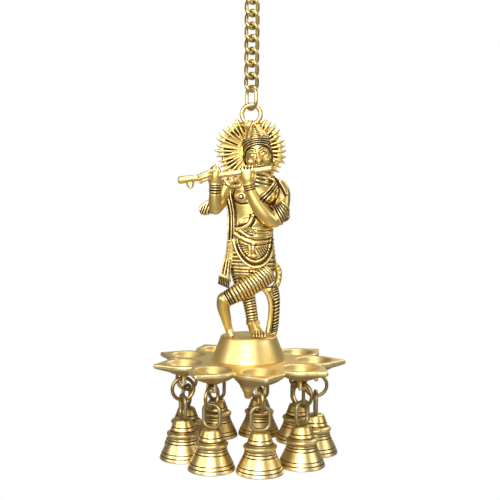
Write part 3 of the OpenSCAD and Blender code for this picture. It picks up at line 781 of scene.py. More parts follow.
head = {
    "centre": (4.3, -1.4, 142.1),
    "lean": -9,
    "grow": 1.06,
    "voxel": 0.28,
    "skull": [
        (0, -4.6, -14.2, 2.6, 2.4), (0, -4, -13, 5, 5), (0, -3.2, -10.5, 7.2, 7.6),
        (0, -2.2, -6, 9, 9.4), (0, -1.2, 0, 10.2, 10.4), (0, -0.8, 6, 10.3, 10.6),
        (0, -0.6, 10.5, 8.6, 9.2), (0, -0.6, 13.6, 4.4, 4.8),
    ],
    "neck": [(0, 0.6, -22, 6.4, 6.2), (0, 0.2, -15, 5.6, 5.6), (0, -0.4, -8, 6, 6)],
    "crown": [
        (0, -0.6, 7.6, 10.5, 10.7), (0, -0.6, 11, 9.9, 10), (0, -0.5, 14, 8.5, 8.4),
        (0, -0.3, 17.6, 6.2, 6.2), (0, 0, 21, 3.7, 3.7), (0, 0.2, 24.4, 0.9, 0.9),
    ],
    "nose": [
        (0, -10.9, 2.4, 0.9, 0.8), (0, -12, -2.4, 1.3, 1.5),
        (0, -12.9, -5, 1.8, 1.8), (0, -11.6, -6.7, 1.5, 1),
    ],
    # nostrils, eyes, cheeks, ears and earrings, on both sides
    "pairs": [
        ((1.5, -11.7, -5.6), (1, 1, 0.9), 12), ((4.2, -9.9, 0.2), (2.2, 1.4, 1.15), 16),
        ((4.9, -7.2, -4.8), (3.6, 3, 3.2), 16), ((10.3, -0.2, -1.2), (1.2, 2.2, 3.3), 16),
        ((10.9, -1.4, -6.2), (1.5, 1.5, 2.2), 16),
    ],
    "hair": [(8.6, 2.5, 4, 2, 4), (8.6, 3.4, -6, 2, 4.4), (8, 4.4, -15, 2, 3.2)],
    "hairCords": (7, 0.4),
    # brow and lids on both sides, with their radius
    "lines": [
        ([(1.3, -11.5, 2.4), (4.2, -11, 3.9), (7.6, -8.6, 2.7)], 0.55),
        ([(1.9, -11, 0.1), (4.1, -11.5, 1.5), (6.6, -9.5, 0.2)], 0.42),
        ([(1.9, -11, 0), (4.2, -11.2, -0.9), (6.6, -9.5, 0.1)], 0.32),
    ],
    "taper": 0.6,
    "lips": [
        ([(-2.8, -10.3, -9), (-0.9, -11.4, -8.3), (0, -11.5, -8.6), (0.9, -11.4, -8.3), (2.8, -10.3, -9)],
         16, 0.62),
        ([(-2.3, -10.4, -9.4), (0, -11.3, -10.2), (2.3, -10.4, -9.4)], 12, 0.72),
    ],
    "chin": ((0, -8.8, -12.3), (2.8, 2.1, 1.9)),
    "hairLine": [(10.4, -5), (9.6, 2), (6.4, 6), (0, 7.4)],
    "arches": (0, 1.5, 3, 4.5),
    "archGaps": (-0.8, 0.75, 2.25, 3.75, 5.3),
    "archWidening": 14,
    "archRadius": 0.8,
    # cords up the crown: how many, first turn and sweep in degrees, then distance out and height
    "crownCords": (9, -55, 290),
    "crownCord": ((9.9, 12.4), (7.2, 16.4), (3.4, 21.4)),
    "crownCordY": -0.3,
    "crownCordRadii": (0.55, 0.35),
    "crownLeaf": ((5.2, 12.6), (3.6, 17), (0, 23.4)),
    "leafRadius": 0.65,
    "chevrons": ((3.6, 12.8), (3.1, 14.5), (2.5, 16.2), (1.9, 17.9), (1.2, 19.6)),
    "chevronRise": 1.7,
    "lift": 0.1,
    "mouthCut": [(-3, -9.15), (-1, -9), (0, -9.25), (1, -9), (3, -9.15)],
    # lid, brow and nostril, on both sides
    "cuts": [
        [(1.7, 0.3), (4.1, 1.05), (6.7, 0.3)], [(1.2, 3.2), (4.2, 4.8), (7.8, 3.4)],
        [(2.4, -4.6), (2.6, -6), (1.6, -6.9)],
    ],
    "bandCut": (0.5, 0.25),
    "fineCut": (0.36, 0.2),
    "reliefRounds": 16,
}


# a line over the forehead, further up and out as it grows
def archAbove(grow):
    right = [(x * (1 + grow / head["archWidening"]), z + grow) for x, z in head["hairLine"]]
    return [(-x, z) for x, z in right] + right[-2::-1]


def buildHead():
    bm = bmesh.new()
    limb(bm, head["skull"], 28, 40)
    limb(bm, head["neck"], 10, 28)
    limb(bm, head["crown"], 24, 40)
    tree = BVHTree.FromBMesh(bm)
    limb(bm, head["nose"], 12, 14)
    for side in (-1, 1):
        for (x, y, z), radii, segments in head["pairs"]:
            ball(bm, (side * x, y, z), radii, segments)
        hair = [(side * x, *rest) for x, *rest in head["hair"]]
        loft(bm, woundRun(hair, *head["hairCords"]), sideX, 14)
    for points, radius in head["lines"]:
        for side in (1, -1):
            mirrored = [(side * x, y, z) for x, y, z in points]
            cord(bm, smoothRun(mirrored, 12), radius, radius * head["taper"])
    for points, steps, radius in head["lips"]:
        cord(bm, smoothRun(points, steps), radius)
    ball(bm, *head["chin"], 16)
    for grow in head["arches"]:
        laid(bm, tree, archAbove(grow), 40, head["lift"], head["archRadius"], sides=8)
    buildCrown(bm, tree)
    piece = fuse("figure_head", bm, head["voxel"], 2)
    skin = skinOf(piece)
    chevrons = [[(-h, z), (0, z + head["chevronRise"]), (h, z)] for h, z in head["chevrons"]]
    bands = cutSpots(skin, [archAbove(grow) for grow in head["archGaps"]])
    pairs = [[(side * x, z) for x, z in line] for line in head["cuts"] for side in (1, -1)]
    fine = cutSpots(skin, [head["mouthCut"]] + pairs + chevrons)
    engrave(piece, [(bands, *head["bandCut"]), (fine, *head["fineCut"])])
    lean = Matrix.Rotation(math.radians(head["lean"]), 4, "Y") @ Matrix.Scale(head["grow"], 4)
    piece.data.transform(Matrix.Translation(Vector(head["centre"])) @ lean)
    finishFigure(piece, head["reliefRounds"])


# cords up the sides of the crown, and a leaf in front
def buildCrown(bm, tree):
    count, first, sweep = head["crownCords"]
    for k in range(count):
        turn = math.radians(first + sweep * k / (count - 1))
        aside, ahead = math.sin(turn), math.cos(turn)
        spots = [(r * aside, head["crownCordY"] - r * ahead, z) for r, z in head["crownCord"]]
        cord(bm, smoothRun(spots, 8), *head["crownCordRadii"], side=(ahead, aside, 0.01))
    for side in (-1, 1):
        edge = [(side * x, z) for x, z in head["crownLeaf"]]
        laid(bm, tree, edge, 16, head["lift"], head["leafRadius"], sides=8)


body = {
    "voxel": 0.44,
    "torso": [
        (0.5, 0, 66, 16, 10.2), (0, -1, 76, 16.6, 10.8), (-0.5, 0, 88, 15.4, 9.5), (0.5, 0, 98, 16.2, 10),
        (1.5, 0, 110, 19, 10.5), (1.8, 0, 117, 18.4, 9), (2.5, 0, 122, 11, 7),
    ],
    # chest, belly and shoulders: middle and radii
    "flesh": [
        ((-6.4, -4.2, 109.6), (8.4, 6.8, 6.6)), ((11, -4.2, 109.2), (8.4, 6.8, 6.6)),
        ((0.4, -3.2, 89), (12.5, 8.2, 9)), ((-17, 0, 117), (6.6, 6.6, 6.6)),
        ((19.6, 0, 117), (6.6, 6.6, 6.6)), ((13.6, 2.4, 121.6), (6, 3.6, 4.8)),
    ],
    "collar": [
        (2.6, -0.4, 116.4, 13.4, 8.6), (3.2, -1, 120.4, 12, 8.6),
        (4.2, -1.4, 125, 9.6, 8), (4.8, -1.6, 129, 7.6, 7),
    ],
    "collarCords": (5, 0.8),
    "right": {
        "upper": [
            (-17.6, 0, 119, 6.4, 6.4), (-21.4, -2, 114, 6.8, 6.6),
            (-25.2, -6, 105, 6, 6), (-28, -9, 100.6, 5.2, 5.2),
        ],
        "fore": [
            (-28, -9, 99.6, 4.9, 4.9), (-28.4, -11, 105, 4.9, 5),
            (-28.3, -13, 112, 4.3, 4.3), (-28.2, -13.6, 119, 3.9, 3.5),
        ],
        "palm": [
            (-28.2, -13.8, 117, 4.1, 3.3), (-28.4, -15.2, 122.4, 5.3, 3.3),
            (-28.2, -16, 127.6, 5.1, 2.9), (-27.8, -15.4, 132, 3.1, 2),
        ],
        "bangles": (0.72, 0.8, 0.88, 0.96),
    },
    "left": {
        "upper": [
            (20, 0, 119, 6.4, 6.4), (23.6, -2, 112, 6.4, 6.4),
            (22.8, -7, 101, 6, 6), (17.8, -11.6, 91.2, 6, 6),
        ],
        "fore": [
            (17.4, -12, 90.6, 5.8, 5.8), (10.8, -14.6, 95.2, 6, 5.8), (4.2, -16.2, 103.7, 5.3, 5),
            (-0.2, -16.9, 112, 4.5, 4.2), (-2.5, -17.2, 119, 4, 3.6),
        ],
        "palm": [(-2.5, -17.3, 117.5, 3.9, 3.3), (-3.1, -18.8, 123.5, 4.9, 3), (-3.4, -19.2, 130, 4.9, 2.3)],
        "bangles": (0.86, 0.91, 0.96, 1),
    },
    "elbow": (5.3, 5.3, 5.3),
    "bangleWire": 1.3,
    "bangleStand": 0.2,
    "bangleCut": 0.3,
    # points of a finger, its radius and the tip's
    "fingers": [
        ([(-29.4, -17.4, 126), (-28.9, -17.9, 130.4), (-28.1, -16.4, 134)], 1.45, 0.9),
        ([(-26.6, -16.8, 126), (-25.8, -17.2, 129.4), (-26.2, -16.4, 132.2)], 1.3, 0.9),
        ([(-30.4, -18.2, 128.4), (-35.4, -19.9, 126.8), (-40.4, -18.6, 124.8)], 2, 1.3),
        ([(-30.6, -18.6, 126), (-36, -20.2, 124.4), (-41, -18.8, 122)], 1.9, 1.3),
        ([(-30.6, -18, 123.6), (-35.6, -19.6, 122), (-39.8, -18.4, 119.6)], 1.7, 1.2),
        ([(1, -18.2, 121.5), (2.3, -17.6, 125.4), (1.9, -16.8, 128.2)], 1.5, 1.1),
    ],
    # four fingers over the flute: step, then points with how far they spread
    "gripStep": 2.4,
    "grip": [(-3.4, -19.6, 127.6, 1), (-3.5, -19.8, 130.8, 1.04), (-3.7, -18, 133, 1.06)],
    "gripRadii": (1.3, 1),
    "gripGap": {"x": -3.45, "spread": 1.02, "back": 1.2, "y": -20.2, "z": (128, 132.6)},
    "cuts": [
        [(-13.4, 105.9), (-8.8, 103.9), (-3.4, 104.4)], [(-13.2, 114.5), (-14.8, 110), (-13.8, 106.6)],
        [(19.9, 119.8), (20.9, 114.1), (18.8, 107.8), (13.6, 102.8)],
        [(-10.6, 86.6), (-5.6, 88.1), (-2.6, 90.4), (-0.9, 95.4)],
        [(-8, 83), (-3.6, 84.4), (0.2, 87.4), (2.8, 91.5)],
    ],
    "ringCut": (0.55, 0.3),
    "lineCut": (0.65, 0.32),
}


def buildUpperBody():
    bm = bmesh.new()
    cuts = []
    limb(bm, body["torso"], 30, 48)
    for centre, radii in body["flesh"]:
        ball(bm, centre, radii, 28)
    wind(bm, cuts, body["collar"], *body["collarCords"], sideX, 40)
    skin = BVHTree.FromBMesh(bm)
    arms(bm, cuts)
    clothed = BVHTree.FromBMesh(bm)
    flutePipe(bm, cuts)
    upperDress(bm, cuts, skin, clothed)
    piece = fuse("figure_upper", bm, body["voxel"], 1)
    lines = cutSpots(skinOf(piece), body["cuts"] + foldCuts())
    engrave(piece, [(cuts, *body["ringCut"]), (lines, *body["lineCut"])])
    finishFigure(piece)


def arms(bm, cuts):
    for arm in (body["right"], body["left"]):
        limb(bm, arm["upper"], 14, 24)
        limb(bm, arm["fore"], 16, 24)
        limb(bm, arm["palm"], 10, 18)
        ball(bm, arm["upper"][-1][:3], body["elbow"], 20)
        bangles(bm, cuts, arm["fore"], arm["bangles"])
    for points, radius, tip in body["fingers"]:
        cord(bm, smoothRun(points, 8), radius, tip, side=(1, 0, 0.2), sides=10)
    gap = body["gripGap"]
    for k in range(4):
        aside = (k - 1.5) * body["gripStep"]
        finger = [(x + aside * spread, y, z) for x, y, z, spread in body["grip"]]
        cord(bm, smoothRun(finger, 8), *body["gripRadii"], side=sideX, sides=10)
        if k:
            x = gap["x"] + aside * gap["spread"] - gap["back"]
            cuts += [(x, gap["y"], z) for z in np.linspace(*gap["z"], 20)]


# rings on a forearm, with a cut before each
def bangles(bm, cuts, forearm, marks):
    step = marks[1] - marks[0]
    for t in marks:
        x, y, z, wide, _ = (float(value) for value in sample(forearm, t))
        along = sample(forearm, min(t + 0.02, 1))[:3] - sample(forearm, t - 0.02)[:3]
        turn = aimed((x, y, z), along)
        hoop(bm, turn, wide + body["bangleStand"], body["bangleWire"], 32, 10)
        before = Vector(sample(forearm, t - step / 2)[:3]) - Vector((x, y, z))
        cuts += circleCuts(Matrix.Translation(before) @ turn, wide + body["bangleCut"], 90)


flute = {
    "mouth": (14, -14.6, 130.9),
    "tail": (-55, -17, 121.6),
    "steps": 120,
    "radius": 2.35,
    "flare": 0.6,
    # where the flare starts and how far it runs, as shares of the length
    "flareRun": (0.72, 0.28),
    "rings": (0.66, 0.69),
    "endDepth": 1.6,
    "endRadius": 2.9,
    # a leaf hangs from the far end: x, z and half width
    "leafAt": 0.885,
    "leaf": [(0, -1, 3), (0.1, -3.7, 3.15), (0.5, -5.92, 2.25), (0.8, -7.4, 0.9)],
    "leafFront": 0.6,
    "leafDepth": 1.3,
}


def flutePipe(bm, cuts):
    start, end = Vector(flute["mouth"]), Vector(flute["tail"])
    along = end - start
    steps, radius = flute["steps"], flute["radius"]
    flareFrom, flareOver = flute["flareRun"]
    run = []
    for k in range(steps + 1):
        t = k / steps
        r = radius + flute["flare"] * max(0, (t - flareFrom) / flareOver)
        run.append((*(start + along * t), r, r))
    loft(bm, run, sideZ, 20)
    cuts += ringCuts(run, [int(ring * steps) for ring in flute["rings"]], sideZ)
    ball(bm, start, (flute["endDepth"], radius, radius), 16)
    ball(bm, end, (flute["endDepth"], flute["endRadius"], flute["endRadius"]), 16)
    top = start + along * flute["leafAt"]
    front = top.y - flute["leafFront"]
    leaf = [(top.x + x, front, top.z + z, w, flute["leafDepth"]) for x, z, w in flute["leaf"]]
    limb(bm, leaf, 10, 14)


scarf = {
    "strip": [
        (-16.6, -3, 119, 2.2, 1.2), (-18.6, -6, 111, 2.4, 1.2), (-17.4, -6.6, 104, 2.6, 1.2),
        (-16, -6.2, 96, 2.4, 1.2), (-15.8, -6.2, 84, 2.5, 1.3), (-16.2, -5.6, 74, 2.8, 1.3),
        (-17.4, -4.8, 64, 3, 1.3), (-19.4, -4.8, 54, 3.6, 1.4), (-20.6, -5, 47, 4.4, 1.5),
    ],
    # where its cords and cuts run: share of the half width, and of the depth for a cut
    "stripCords": (-1, 0.1, 1),
    "stripInset": 0.4,
    "stripCord": 0.7,
    "stripCuts": ((-0.5, 1), (0.6, 1), (1.35, 0.4)),
    "elbow": [
        (-24, 0, 105, 5, 1.8), (-31, -1, 102, 5.8, 1.7),
        (-37, -2, 99, 5, 1.4), (-40.6, -2.4, 97.6, 2.6, 1),
    ],
    "elbowCuts": (0.36, 0.53, 0.7, 0.87),
    "elbowSlant": 0.35,
    "shoulder": [
        [(-21.6, 121.6), (-18.2, 118.8), (-13.5, 117.2), (-8.3, 118.3)],
        [(-18.2, 123.4), (-14.5, 121.4), (-8.6, 121.6)],
    ],
    "shoulderCord": (0.3, 1.6),  # lift and radius
    "shoulderKnot": ((-21.4, -6.2, 119.2), (2.3, 1.8, 2.3)),
    # first and last fold, then the number of folds, their radius and lift, and where cuts run between
    "lapel": (
        [(17.4, 120.5), (13.1, 114.6), (7.9, 109.9), (5.4, 108.2)],
        [(20.4, 119), (16.8, 113.4), (12.6, 108.6), (9.4, 104.6)],
        (3, 1.05, 0.4), (0.25, 0.75),
    ),
    "cape": (
        [(16.6, 126.2), (19.4, 120.5), (22.4, 115.2), (25.4, 109.8)],
        [(16, 127), (21.4, 123.6), (25.6, 118.6), (28, 112)],
        (5, 1, 0), (0.1, 0.34),
    ),
    "fan": (
        [(16.4, 102), (18.6, 97), (21.6, 91.6), (23.6, 88)],
        [(23, 106), (27, 102), (29.4, 98), (30, 94)],
        (6, 1.05, 0.1), (0.1, 0.3, 0.5, 0.7, 0.9),
    ),
    "sleeve": [(21.4, -6, 105, 4.6, 4), (24, -6.4, 98, 4.6, 4.2), (25.6, -7, 91, 3.4, 3.2)],
    "roll": [(-12, 84.2), (-5.6, 86), (-2.2, 88.4), (0.4, 92.9), (1.8, 96)],
    "rollCord": (0.6, 1.55),  # lift and radius
    "nipples": ((-8.3, 109.4), (13.3, 107.8)),
    "nippleRing": (1.2, 0.6),
    "nippleCut": 1.75,
}


# side-by-side cords between two lines drawn on the skin
def pleats(bm, tree, name):
    first, last, (count, radius, lift), _ = scarf[name]
    for k in range(count):
        marks = np.array(first) + (np.array(last) - np.array(first)) * k / (count - 1)
        laid(bm, tree, marks, 22, lift, radius)


# a line in the gaps between pleats
def foldCuts():
    lines = []
    for name in ("lapel", "cape", "fan"):
        first, last, _, gaps = scarf[name]
        lines += [(np.array(first) + (np.array(last) - np.array(first)) * share).tolist() for share in gaps]
    return lines


# a cord down the front of the strip, at a share of its half width
def edgeCord(bm, run, edge, inset):
    points = [(x + edge * (w - inset), y - d + 0.1, z) for x, y, z, w, d in run]
    cord(bm, points, scarf["stripCord"])


def upperDress(bm, cuts, skin, clothed):
    for marks in scarf["shoulder"]:
        laid(bm, clothed, marks, 28, *scarf["shoulderCord"])
    ball(bm, *scarf["shoulderKnot"], 16)
    pleats(bm, skin, "lapel")
    laid(bm, skin, scarf["roll"], 24, *scarf["rollCord"])
    # cape over the far shoulder, then the fan of folds that hangs from the elbow
    pleats(bm, clothed, "cape")
    loft(bm, scarf["sleeve"], sideX, 14)
    pleats(bm, BVHTree.FromBMesh(bm), "fan")
    # strip that runs down from the near shoulder
    run = smoothRun(scarf["strip"], 30)[:20]
    loft(bm, run, sideX, 14)
    for edge in scarf["stripCords"]:
        edgeCord(bm, run, edge, scarf["stripInset"])
    dense = smoothRun(scarf["strip"], 400)[:265]
    for edge, front in scarf["stripCuts"]:
        cuts += [(x + edge * (w - scarf["stripInset"]), y - d * front, z) for x, y, z, w, d in dense]
    limb(bm, scarf["elbow"], 16, 14, sideZ)
    for t in scarf["elbowCuts"]:
        x, y, z, w, d = sample(scarf["elbow"], t)
        cuts += [(x + scarf["elbowSlant"] * s, y - d, z + s) for s in np.linspace(-w, w, 40)]
    for x, z in scarf["nipples"]:
        spot = drawn(skin, [(x, z), (x, z + 0.01)], 1)[0]
        turn = Matrix.Translation(spot) @ facing
        radius, wire = scarf["nippleRing"]
        hoop(bm, turn, radius, wire, 20, 6)
        ball(bm, spot, (wire, wire, wire), 10)
        cuts += circleCuts(turn, scarf["nippleCut"], 30)


legs = {
    "voxel": 0.44,
    "pelvis": [
        (1, 0, 45, 13, 8), (1, 0, 50, 16.3, 10), (1, 0, 60, 17.6, 10.8), (0.5, 0, 72, 16.6, 10.2),
        (0.2, -0.5, 82, 16, 10.4),
    ],
    "sash": [(0.4, -0.6, 79, 16.6, 10.8), (0.2, -0.8, 83, 17, 11.2), (-0.2, -0.6, 86, 15.6, 9.8)],
    "frontThigh": [
        (13, -2, 51.4, 9.4, 9.4), (4, -6, 44, 9, 8.8),
        (-8, -9, 36.4, 7.6, 7.6), (-19.4, -10, 29.8, 5.9, 5.9),
    ],
    "frontShin": [
        (-21, -10, 30, 5.4, 5.4), (-21.4, -9.6, 24, 4.9, 5),
        (-19, -8, 14, 3.4, 3.9), (-16.8, -7, 5, 2.5, 2.9),
    ],
    "frontFoot": [(-17, -7, 7, 2.5, 2.9), (-15.8, -7.8, 3, 2.7, 3.1), (-14, -9, 0.3, 2.4, 2.4)],
    "backThigh": [(-8, 1, 53, 9, 9), (-6.5, 1, 44, 8, 8), (-3, 1, 33, 6, 6)],
    "backShin": [(-3.4, 1, 36, 6.2, 6.2), (-0.6, 0.6, 24, 5.4, 5.4), (1.6, 0, 11, 4.9, 4.9)],
    "backFoot": [
        (1.4, 1.2, 12, 4.5, 4.5), (2.2, -1.5, 8, 4.5, 5.2),
        (4.4, -7, 4.4, 5, 3.6), (6.4, -11.4, 2.3, 5.4, 1.9),
    ],
    # cloth wound round a limb: how far it stands off, cords and their depth
    "wound": {
        "pelvis": (0.9, 15, 0.9), "frontThigh": (0.2, 18, 0.9),
        "backThigh": (0, 10, 0.8), "backShin": (0, 13, 0.8),
    },
    "kneeCap": ((-20.6, -10, 29.6), (5.7, 5.7, 5.9)),
    "kneeBands": {
        "place": (-20, -10, 29.4), "along": (12, 1, 7), "steps": (1.2, 3, 4.8),
        "radius": 5.6, "swell": 0.12, "wire": 1.4, "cutOut": 0.7, "cutUp": 0.9,
    },
    "anklets": {"place": (1.7, -0.2), "heights": (11.4, 9.8), "tilt": 12, "radius": 4.9, "wire": 1.3},
    # a toe's points with the step from toe to toe and how far the outer ones draw back
    "toes": [(2.2, -10, 2.5, 2.1, 0), (2.5, -13.4, 2.4, 2.15, 0.5), (2.7, -15.4, 1.5, 2.2, 0.6)],
    "bigToe": 1.5,
    "smallToe": 1.25,
    "toeTip": 1,
    "toeGap": ((3.35, 2.15, 5.4), (3.55, 2.2, 1.6)),
    "tailLoop": [
        (14, 1, 59.6, 2, 2.4), (19.8, 1.4, 55, 2.1, 2.5), (21.8, 1.8, 48.5, 2.2, 2.6),
        (20.4, 2, 41, 2.2, 2.5), (16.4, 2, 37, 2.1, 2.4), (11, 2, 36.6, 2, 2.3),
    ],
    "tailInner": [
        (9, 1.4, 38.6, 1.7, 2), (13.8, 1.6, 32, 1.5, 2.2), (16, 1.8, 24, 1.5, 2.3), (15.6, 2, 13, 1.6, 2.3),
        (13.8, 2, 2, 2.2, 2.4),
    ],
    "tailOuter": [
        (18.6, 1.8, 39, 2.2, 1.8), (20.4, 2, 32, 2.4, 1.9), (20.6, 2.2, 20, 2.3, 1.9),
        (19.8, 2.2, 8, 2.3, 1.9), (18.2, 2, 0.6, 2.6, 2.2),
    ],
    "tailFill": [
        (14.6, 2, 37, 3.4, 1.2), (18, 2, 30, 2.6, 1.2), (18.2, 2, 16, 2.6, 1.2), (16.8, 2, 1, 3, 1.2),
    ],
    # cords across the waist: marks, radius and lift
    "waist": [
        ([(-13.6, 81.4), (-7.4, 77.5), (-1.1, 74.9), (4.6, 74.2), (11.4, 74.9), (16.6, 76.4)], 1.55, 1),
        ([(-9.6, 83.5), (-2.2, 79.1), (4.6, 77.5), (13.5, 78.4), (16.6, 79.4)], 0.85, 0.8),
        ([(-7.3, 84), (0.4, 80.9), (6.2, 80.2), (14, 80.7), (16.4, 81.6)], 0.65, 0.6),
    ],
    "cuts": [
        [(-14, 79.6), (-7.4, 75.4), (-1.1, 72.8), (4.6, 72.1), (11.4, 72.8), (16.8, 74.4)],
        [(-12.4, 83.4), (-6.4, 79.4), (0, 76.9), (4.6, 76.1), (12, 76.8), (16.8, 78)],
        [(-7.6, 84.4), (-4.3, 81.5)], [(-5.8, 85), (-2.2, 81.6)], [(-4.2, 85.4), (-0.4, 81.6)],
        [(-2.6, 85.8), (1.2, 82)], [(-0.8, 85.8), (3, 82)], [(2, 84.6), (9, 83), (15.4, 83.6)],
        [(-20.2, 58), (-21.8, 49.4)], [(-18.2, 59), (-19.4, 48.4)], [(-16.4, 60), (-17, 47.4)],
        [(-1.6, 52.4), (-0.4, 50.8), (1.2, 51.6)], [(-2.6, 51.4), (2.2, 50.4)],
    ],
    "ringCut": (0.6, 0.32),
    "fineCut": (0.4, 0.25),
}


def wrapped(bm, cuts, name, sides, side=sideX):
    off, cords, depth = legs["wound"][name]
    wind(bm, cuts, [(x, y, z, w + off, d + off) for x, y, z, w, d in legs[name]], cords, depth, side, sides)


def buildLowerBody():
    bm = bmesh.new()
    cuts = []
    limb(bm, legs["pelvis"], 24, 48)
    loft(bm, legs["sash"], sideX, 48)
    skin = BVHTree.FromBMesh(bm)
    wrapped(bm, cuts, "pelvis", 48)
    wrapped(bm, cuts, "frontThigh", 36, sideY)
    limb(bm, legs["frontShin"], 16, 28, sideY)
    limb(bm, legs["frontFoot"], 8, 20, sideY)
    wrapped(bm, cuts, "backThigh", 32)
    wrapped(bm, cuts, "backShin", 32)
    limb(bm, legs["backFoot"], 14, 24)
    kneeAndFeet(bm, cuts)
    lowerDress(bm, cuts, skin)
    # level with the soles
    for v in bm.verts:
        v.co.z = max(v.co.z, 0)
    piece = fuse("figure_lower", bm, legs["voxel"], 1)
    gaps = [[(x + k * step, z) for x, step, z in legs["toeGap"]] for k in range(4)]
    fine = cutSpots(skinOf(piece), legs["cuts"] + gaps + apronCuts())
    engrave(piece, [(cuts, *legs["ringCut"]), (fine, *legs["fineCut"])])
    finishFigure(piece)


def kneeAndFeet(bm, cuts):
    bands = legs["kneeBands"]
    knee = aimed(bands["place"], bands["along"])
    ball(bm, *legs["kneeCap"], 24)
    for step in bands["steps"]:
        turn = knee @ Matrix.Translation((0, 0, step))
        hoop(bm, turn, bands["radius"] + bands["swell"] * step, bands["wire"], 36, 10)
        cutRadius = bands["radius"] + bands["cutOut"]
        cuts += circleCuts(knee, cutRadius, 120, step + bands["cutUp"], 2 * math.pi)
    anklets = legs["anklets"]
    tilt = Matrix.Rotation(math.radians(anklets["tilt"]), 4, "X")
    for z in anklets["heights"]:
        turn = Matrix.Translation((*anklets["place"], z)) @ tilt
        hoop(bm, turn, anklets["radius"], anklets["wire"], 32, 10)
    for k in range(5):
        outer = abs(k - 2)
        toe = [(x + k * step, y + outer * back, z) for x, y, z, step, back in legs["toes"]]
        radius = legs["smallToe"] if k else legs["bigToe"]
        cord(bm, smoothRun(toe, 6), radius, legs["toeTip"], side=sideZ, sides=10)


tail = {
    # strokes across the outer tail: how many, the first and the step as shares of its length
    "strokes": (17, 0.03, 0.055),
    "strokeRise": 1.3,
    "strokeRadius": 0.55,
    "strokeCut": 1.05,
    # strokes on the loop: the same, then the first lean and its step in degrees
    "loopStrokes": (11, 0.04, 0.085),
    "loopLean": (-70, 13),
    "loopStart": 1.1,
    "loopReach": 1.3,
    "loopRadius": 0.5,
}

fringe = {
    "straps": (-1, -0.2, 0.5, 1),
    "inset": 0.5,
    "bar": [(-24.9, -5.8, 49), (-20.6, -6.5, 47), (-16, -5.8, 45)],
    "barRadius": 1.15,
    "back": [(-20.5, -4.4, 47, 4.4, 0.9), (-21.4, -4.4, 40.4, 4.2, 0.9)],
    # the first tassel's top, the step to the next, and points down a tassel
    "top": (-24.5, 48),
    "step": (1.35, -0.6),
    "tassels": 7,
    "tassel": [(0, -5.4, 0), (-0.5, -5.6, -4), (-1, -5.5, -6.8)],
    "tasselRadius": 0.8,
    "cut": {"aside": 0.68, "slant": 0.15, "y": -6, "down": (1.4, 6.6)},
}


def lowerDress(bm, cuts, skin):
    buildApron(bm, skin)
    for marks, radius, lift in legs["waist"]:
        laid(bm, skin, marks, 32, lift, radius)
    # loop and tail of the dress, plain inside and hatched outside
    for part, side in (("tailLoop", sideY), ("tailInner", sideY), ("tailOuter", sideX), ("tailFill", sideX)):
        limb(bm, legs[part], 26, 16, side)
    count, first, step = tail["strokes"]
    rise = tail["strokeRise"]
    for k in range(count):
        x, y, z, w, d = sample(legs["tailOuter"], first + step * k)
        low, high = (x - w - 0.3, y - d - 0.1, z - rise), (x + w + 0.2, y - d * 0.5, z + rise)
        points = [low, (x, y - d - 0.45, z), high]
        cord(bm, smoothRun(points, 5), tail["strokeRadius"], sides=6)
        cuts += [(px, py, pz + tail["strokeCut"]) for px, py, pz in smoothRun(points, 16)]
    for x, y, z, w, d in smoothRun(legs["tailInner"], 160)[30:]:
        cuts.append((x + w + 0.7, y - d * 0.6, z))
    count, first, step = tail["loopStrokes"]
    firstLean, leanStep = tail["loopLean"]
    for k in range(count):
        x, y, z, w, d = sample(legs["tailLoop"], first + step * k)
        lean = math.radians(firstLean + leanStep * k)
        out = Vector((math.cos(lean), 0, -math.sin(lean)))
        spot = Vector((x, y, z)) + out * tail["loopStart"]
        far = spot + out * tail["loopReach"] + Vector((0, -d * 0.3, 0))
        cord(bm, [spot + Vector((0, -d - 0.2, 0)), far], tail["loopRadius"], sides=6)
    # end of the strip: straps, a bar and a fringe
    run = smoothRun(scarf["strip"], 30)[18:]
    loft(bm, run, sideX, 14)
    for edge in fringe["straps"]:
        edgeCord(bm, run, edge, fringe["inset"])
    cord(bm, fringe["bar"], fringe["barRadius"], sides=10)
    cut = fringe["cut"]
    for k in range(fringe["tassels"]):
        x, z = (start + step * k for start, step in zip(fringe["top"], fringe["step"]))
        cord(bm, [(x + dx, y, z + dz) for dx, y, dz in fringe["tassel"]], fringe["tasselRadius"], sides=8)
        for s in np.linspace(*cut["down"], 24):
            cuts.append((x - cut["aside"] - cut["slant"] * s, cut["y"], z - s))
    loft(bm, fringe["back"], sideX, 12)


apron = {
    "centre": (1.6, 79),
    "half": 16.4,
    "drop": 24.4,
    "slant": 2.2,
    "grid": (50, 40),
    "lift": 1.7,
    "thick": 2.6,
    # share of the apron's size, and the cord's radius
    "borders": ((0.98, 0.85), (0.79, 0.6)),
    "borderLift": 2,
    "knot": [
        (1.2, -12.6, 73, 1.9, 1.6), (1.2, -13.4, 70.4, 1.3, 1.5),
        (1.2, -13.4, 67.4, 1.5, 1.4), (1.4, -13, 65.4, 1, 1),
    ],
    "knotEnd": ((2, -13, 64), (2.6, 1.4, 1.4)),
    "rings": (0.91, 0.865, 0.73),
    "hem": (0.86, 0.91),
    "hemStrokes": 26,
    "fanStrokes": 6,
    # the fans' first strokes from end to end, and the last ones
    "fans": (
        (((-2.6, 71.6), (-10.6, 73)), ((-1.7, 65.6), (-5, 63.6))),
        (((4.1, 69.5), (8.6, 62.4)), ((12.4, 71.5), (14.8, 68.4))),
    ),
}


def onApron(share, turn):
    x, z = apron["centre"]
    down = share * math.sin(turn)
    x += apron["half"] * share * math.cos(turn) + apron["slant"] * down
    return x, z - apron["drop"] * down


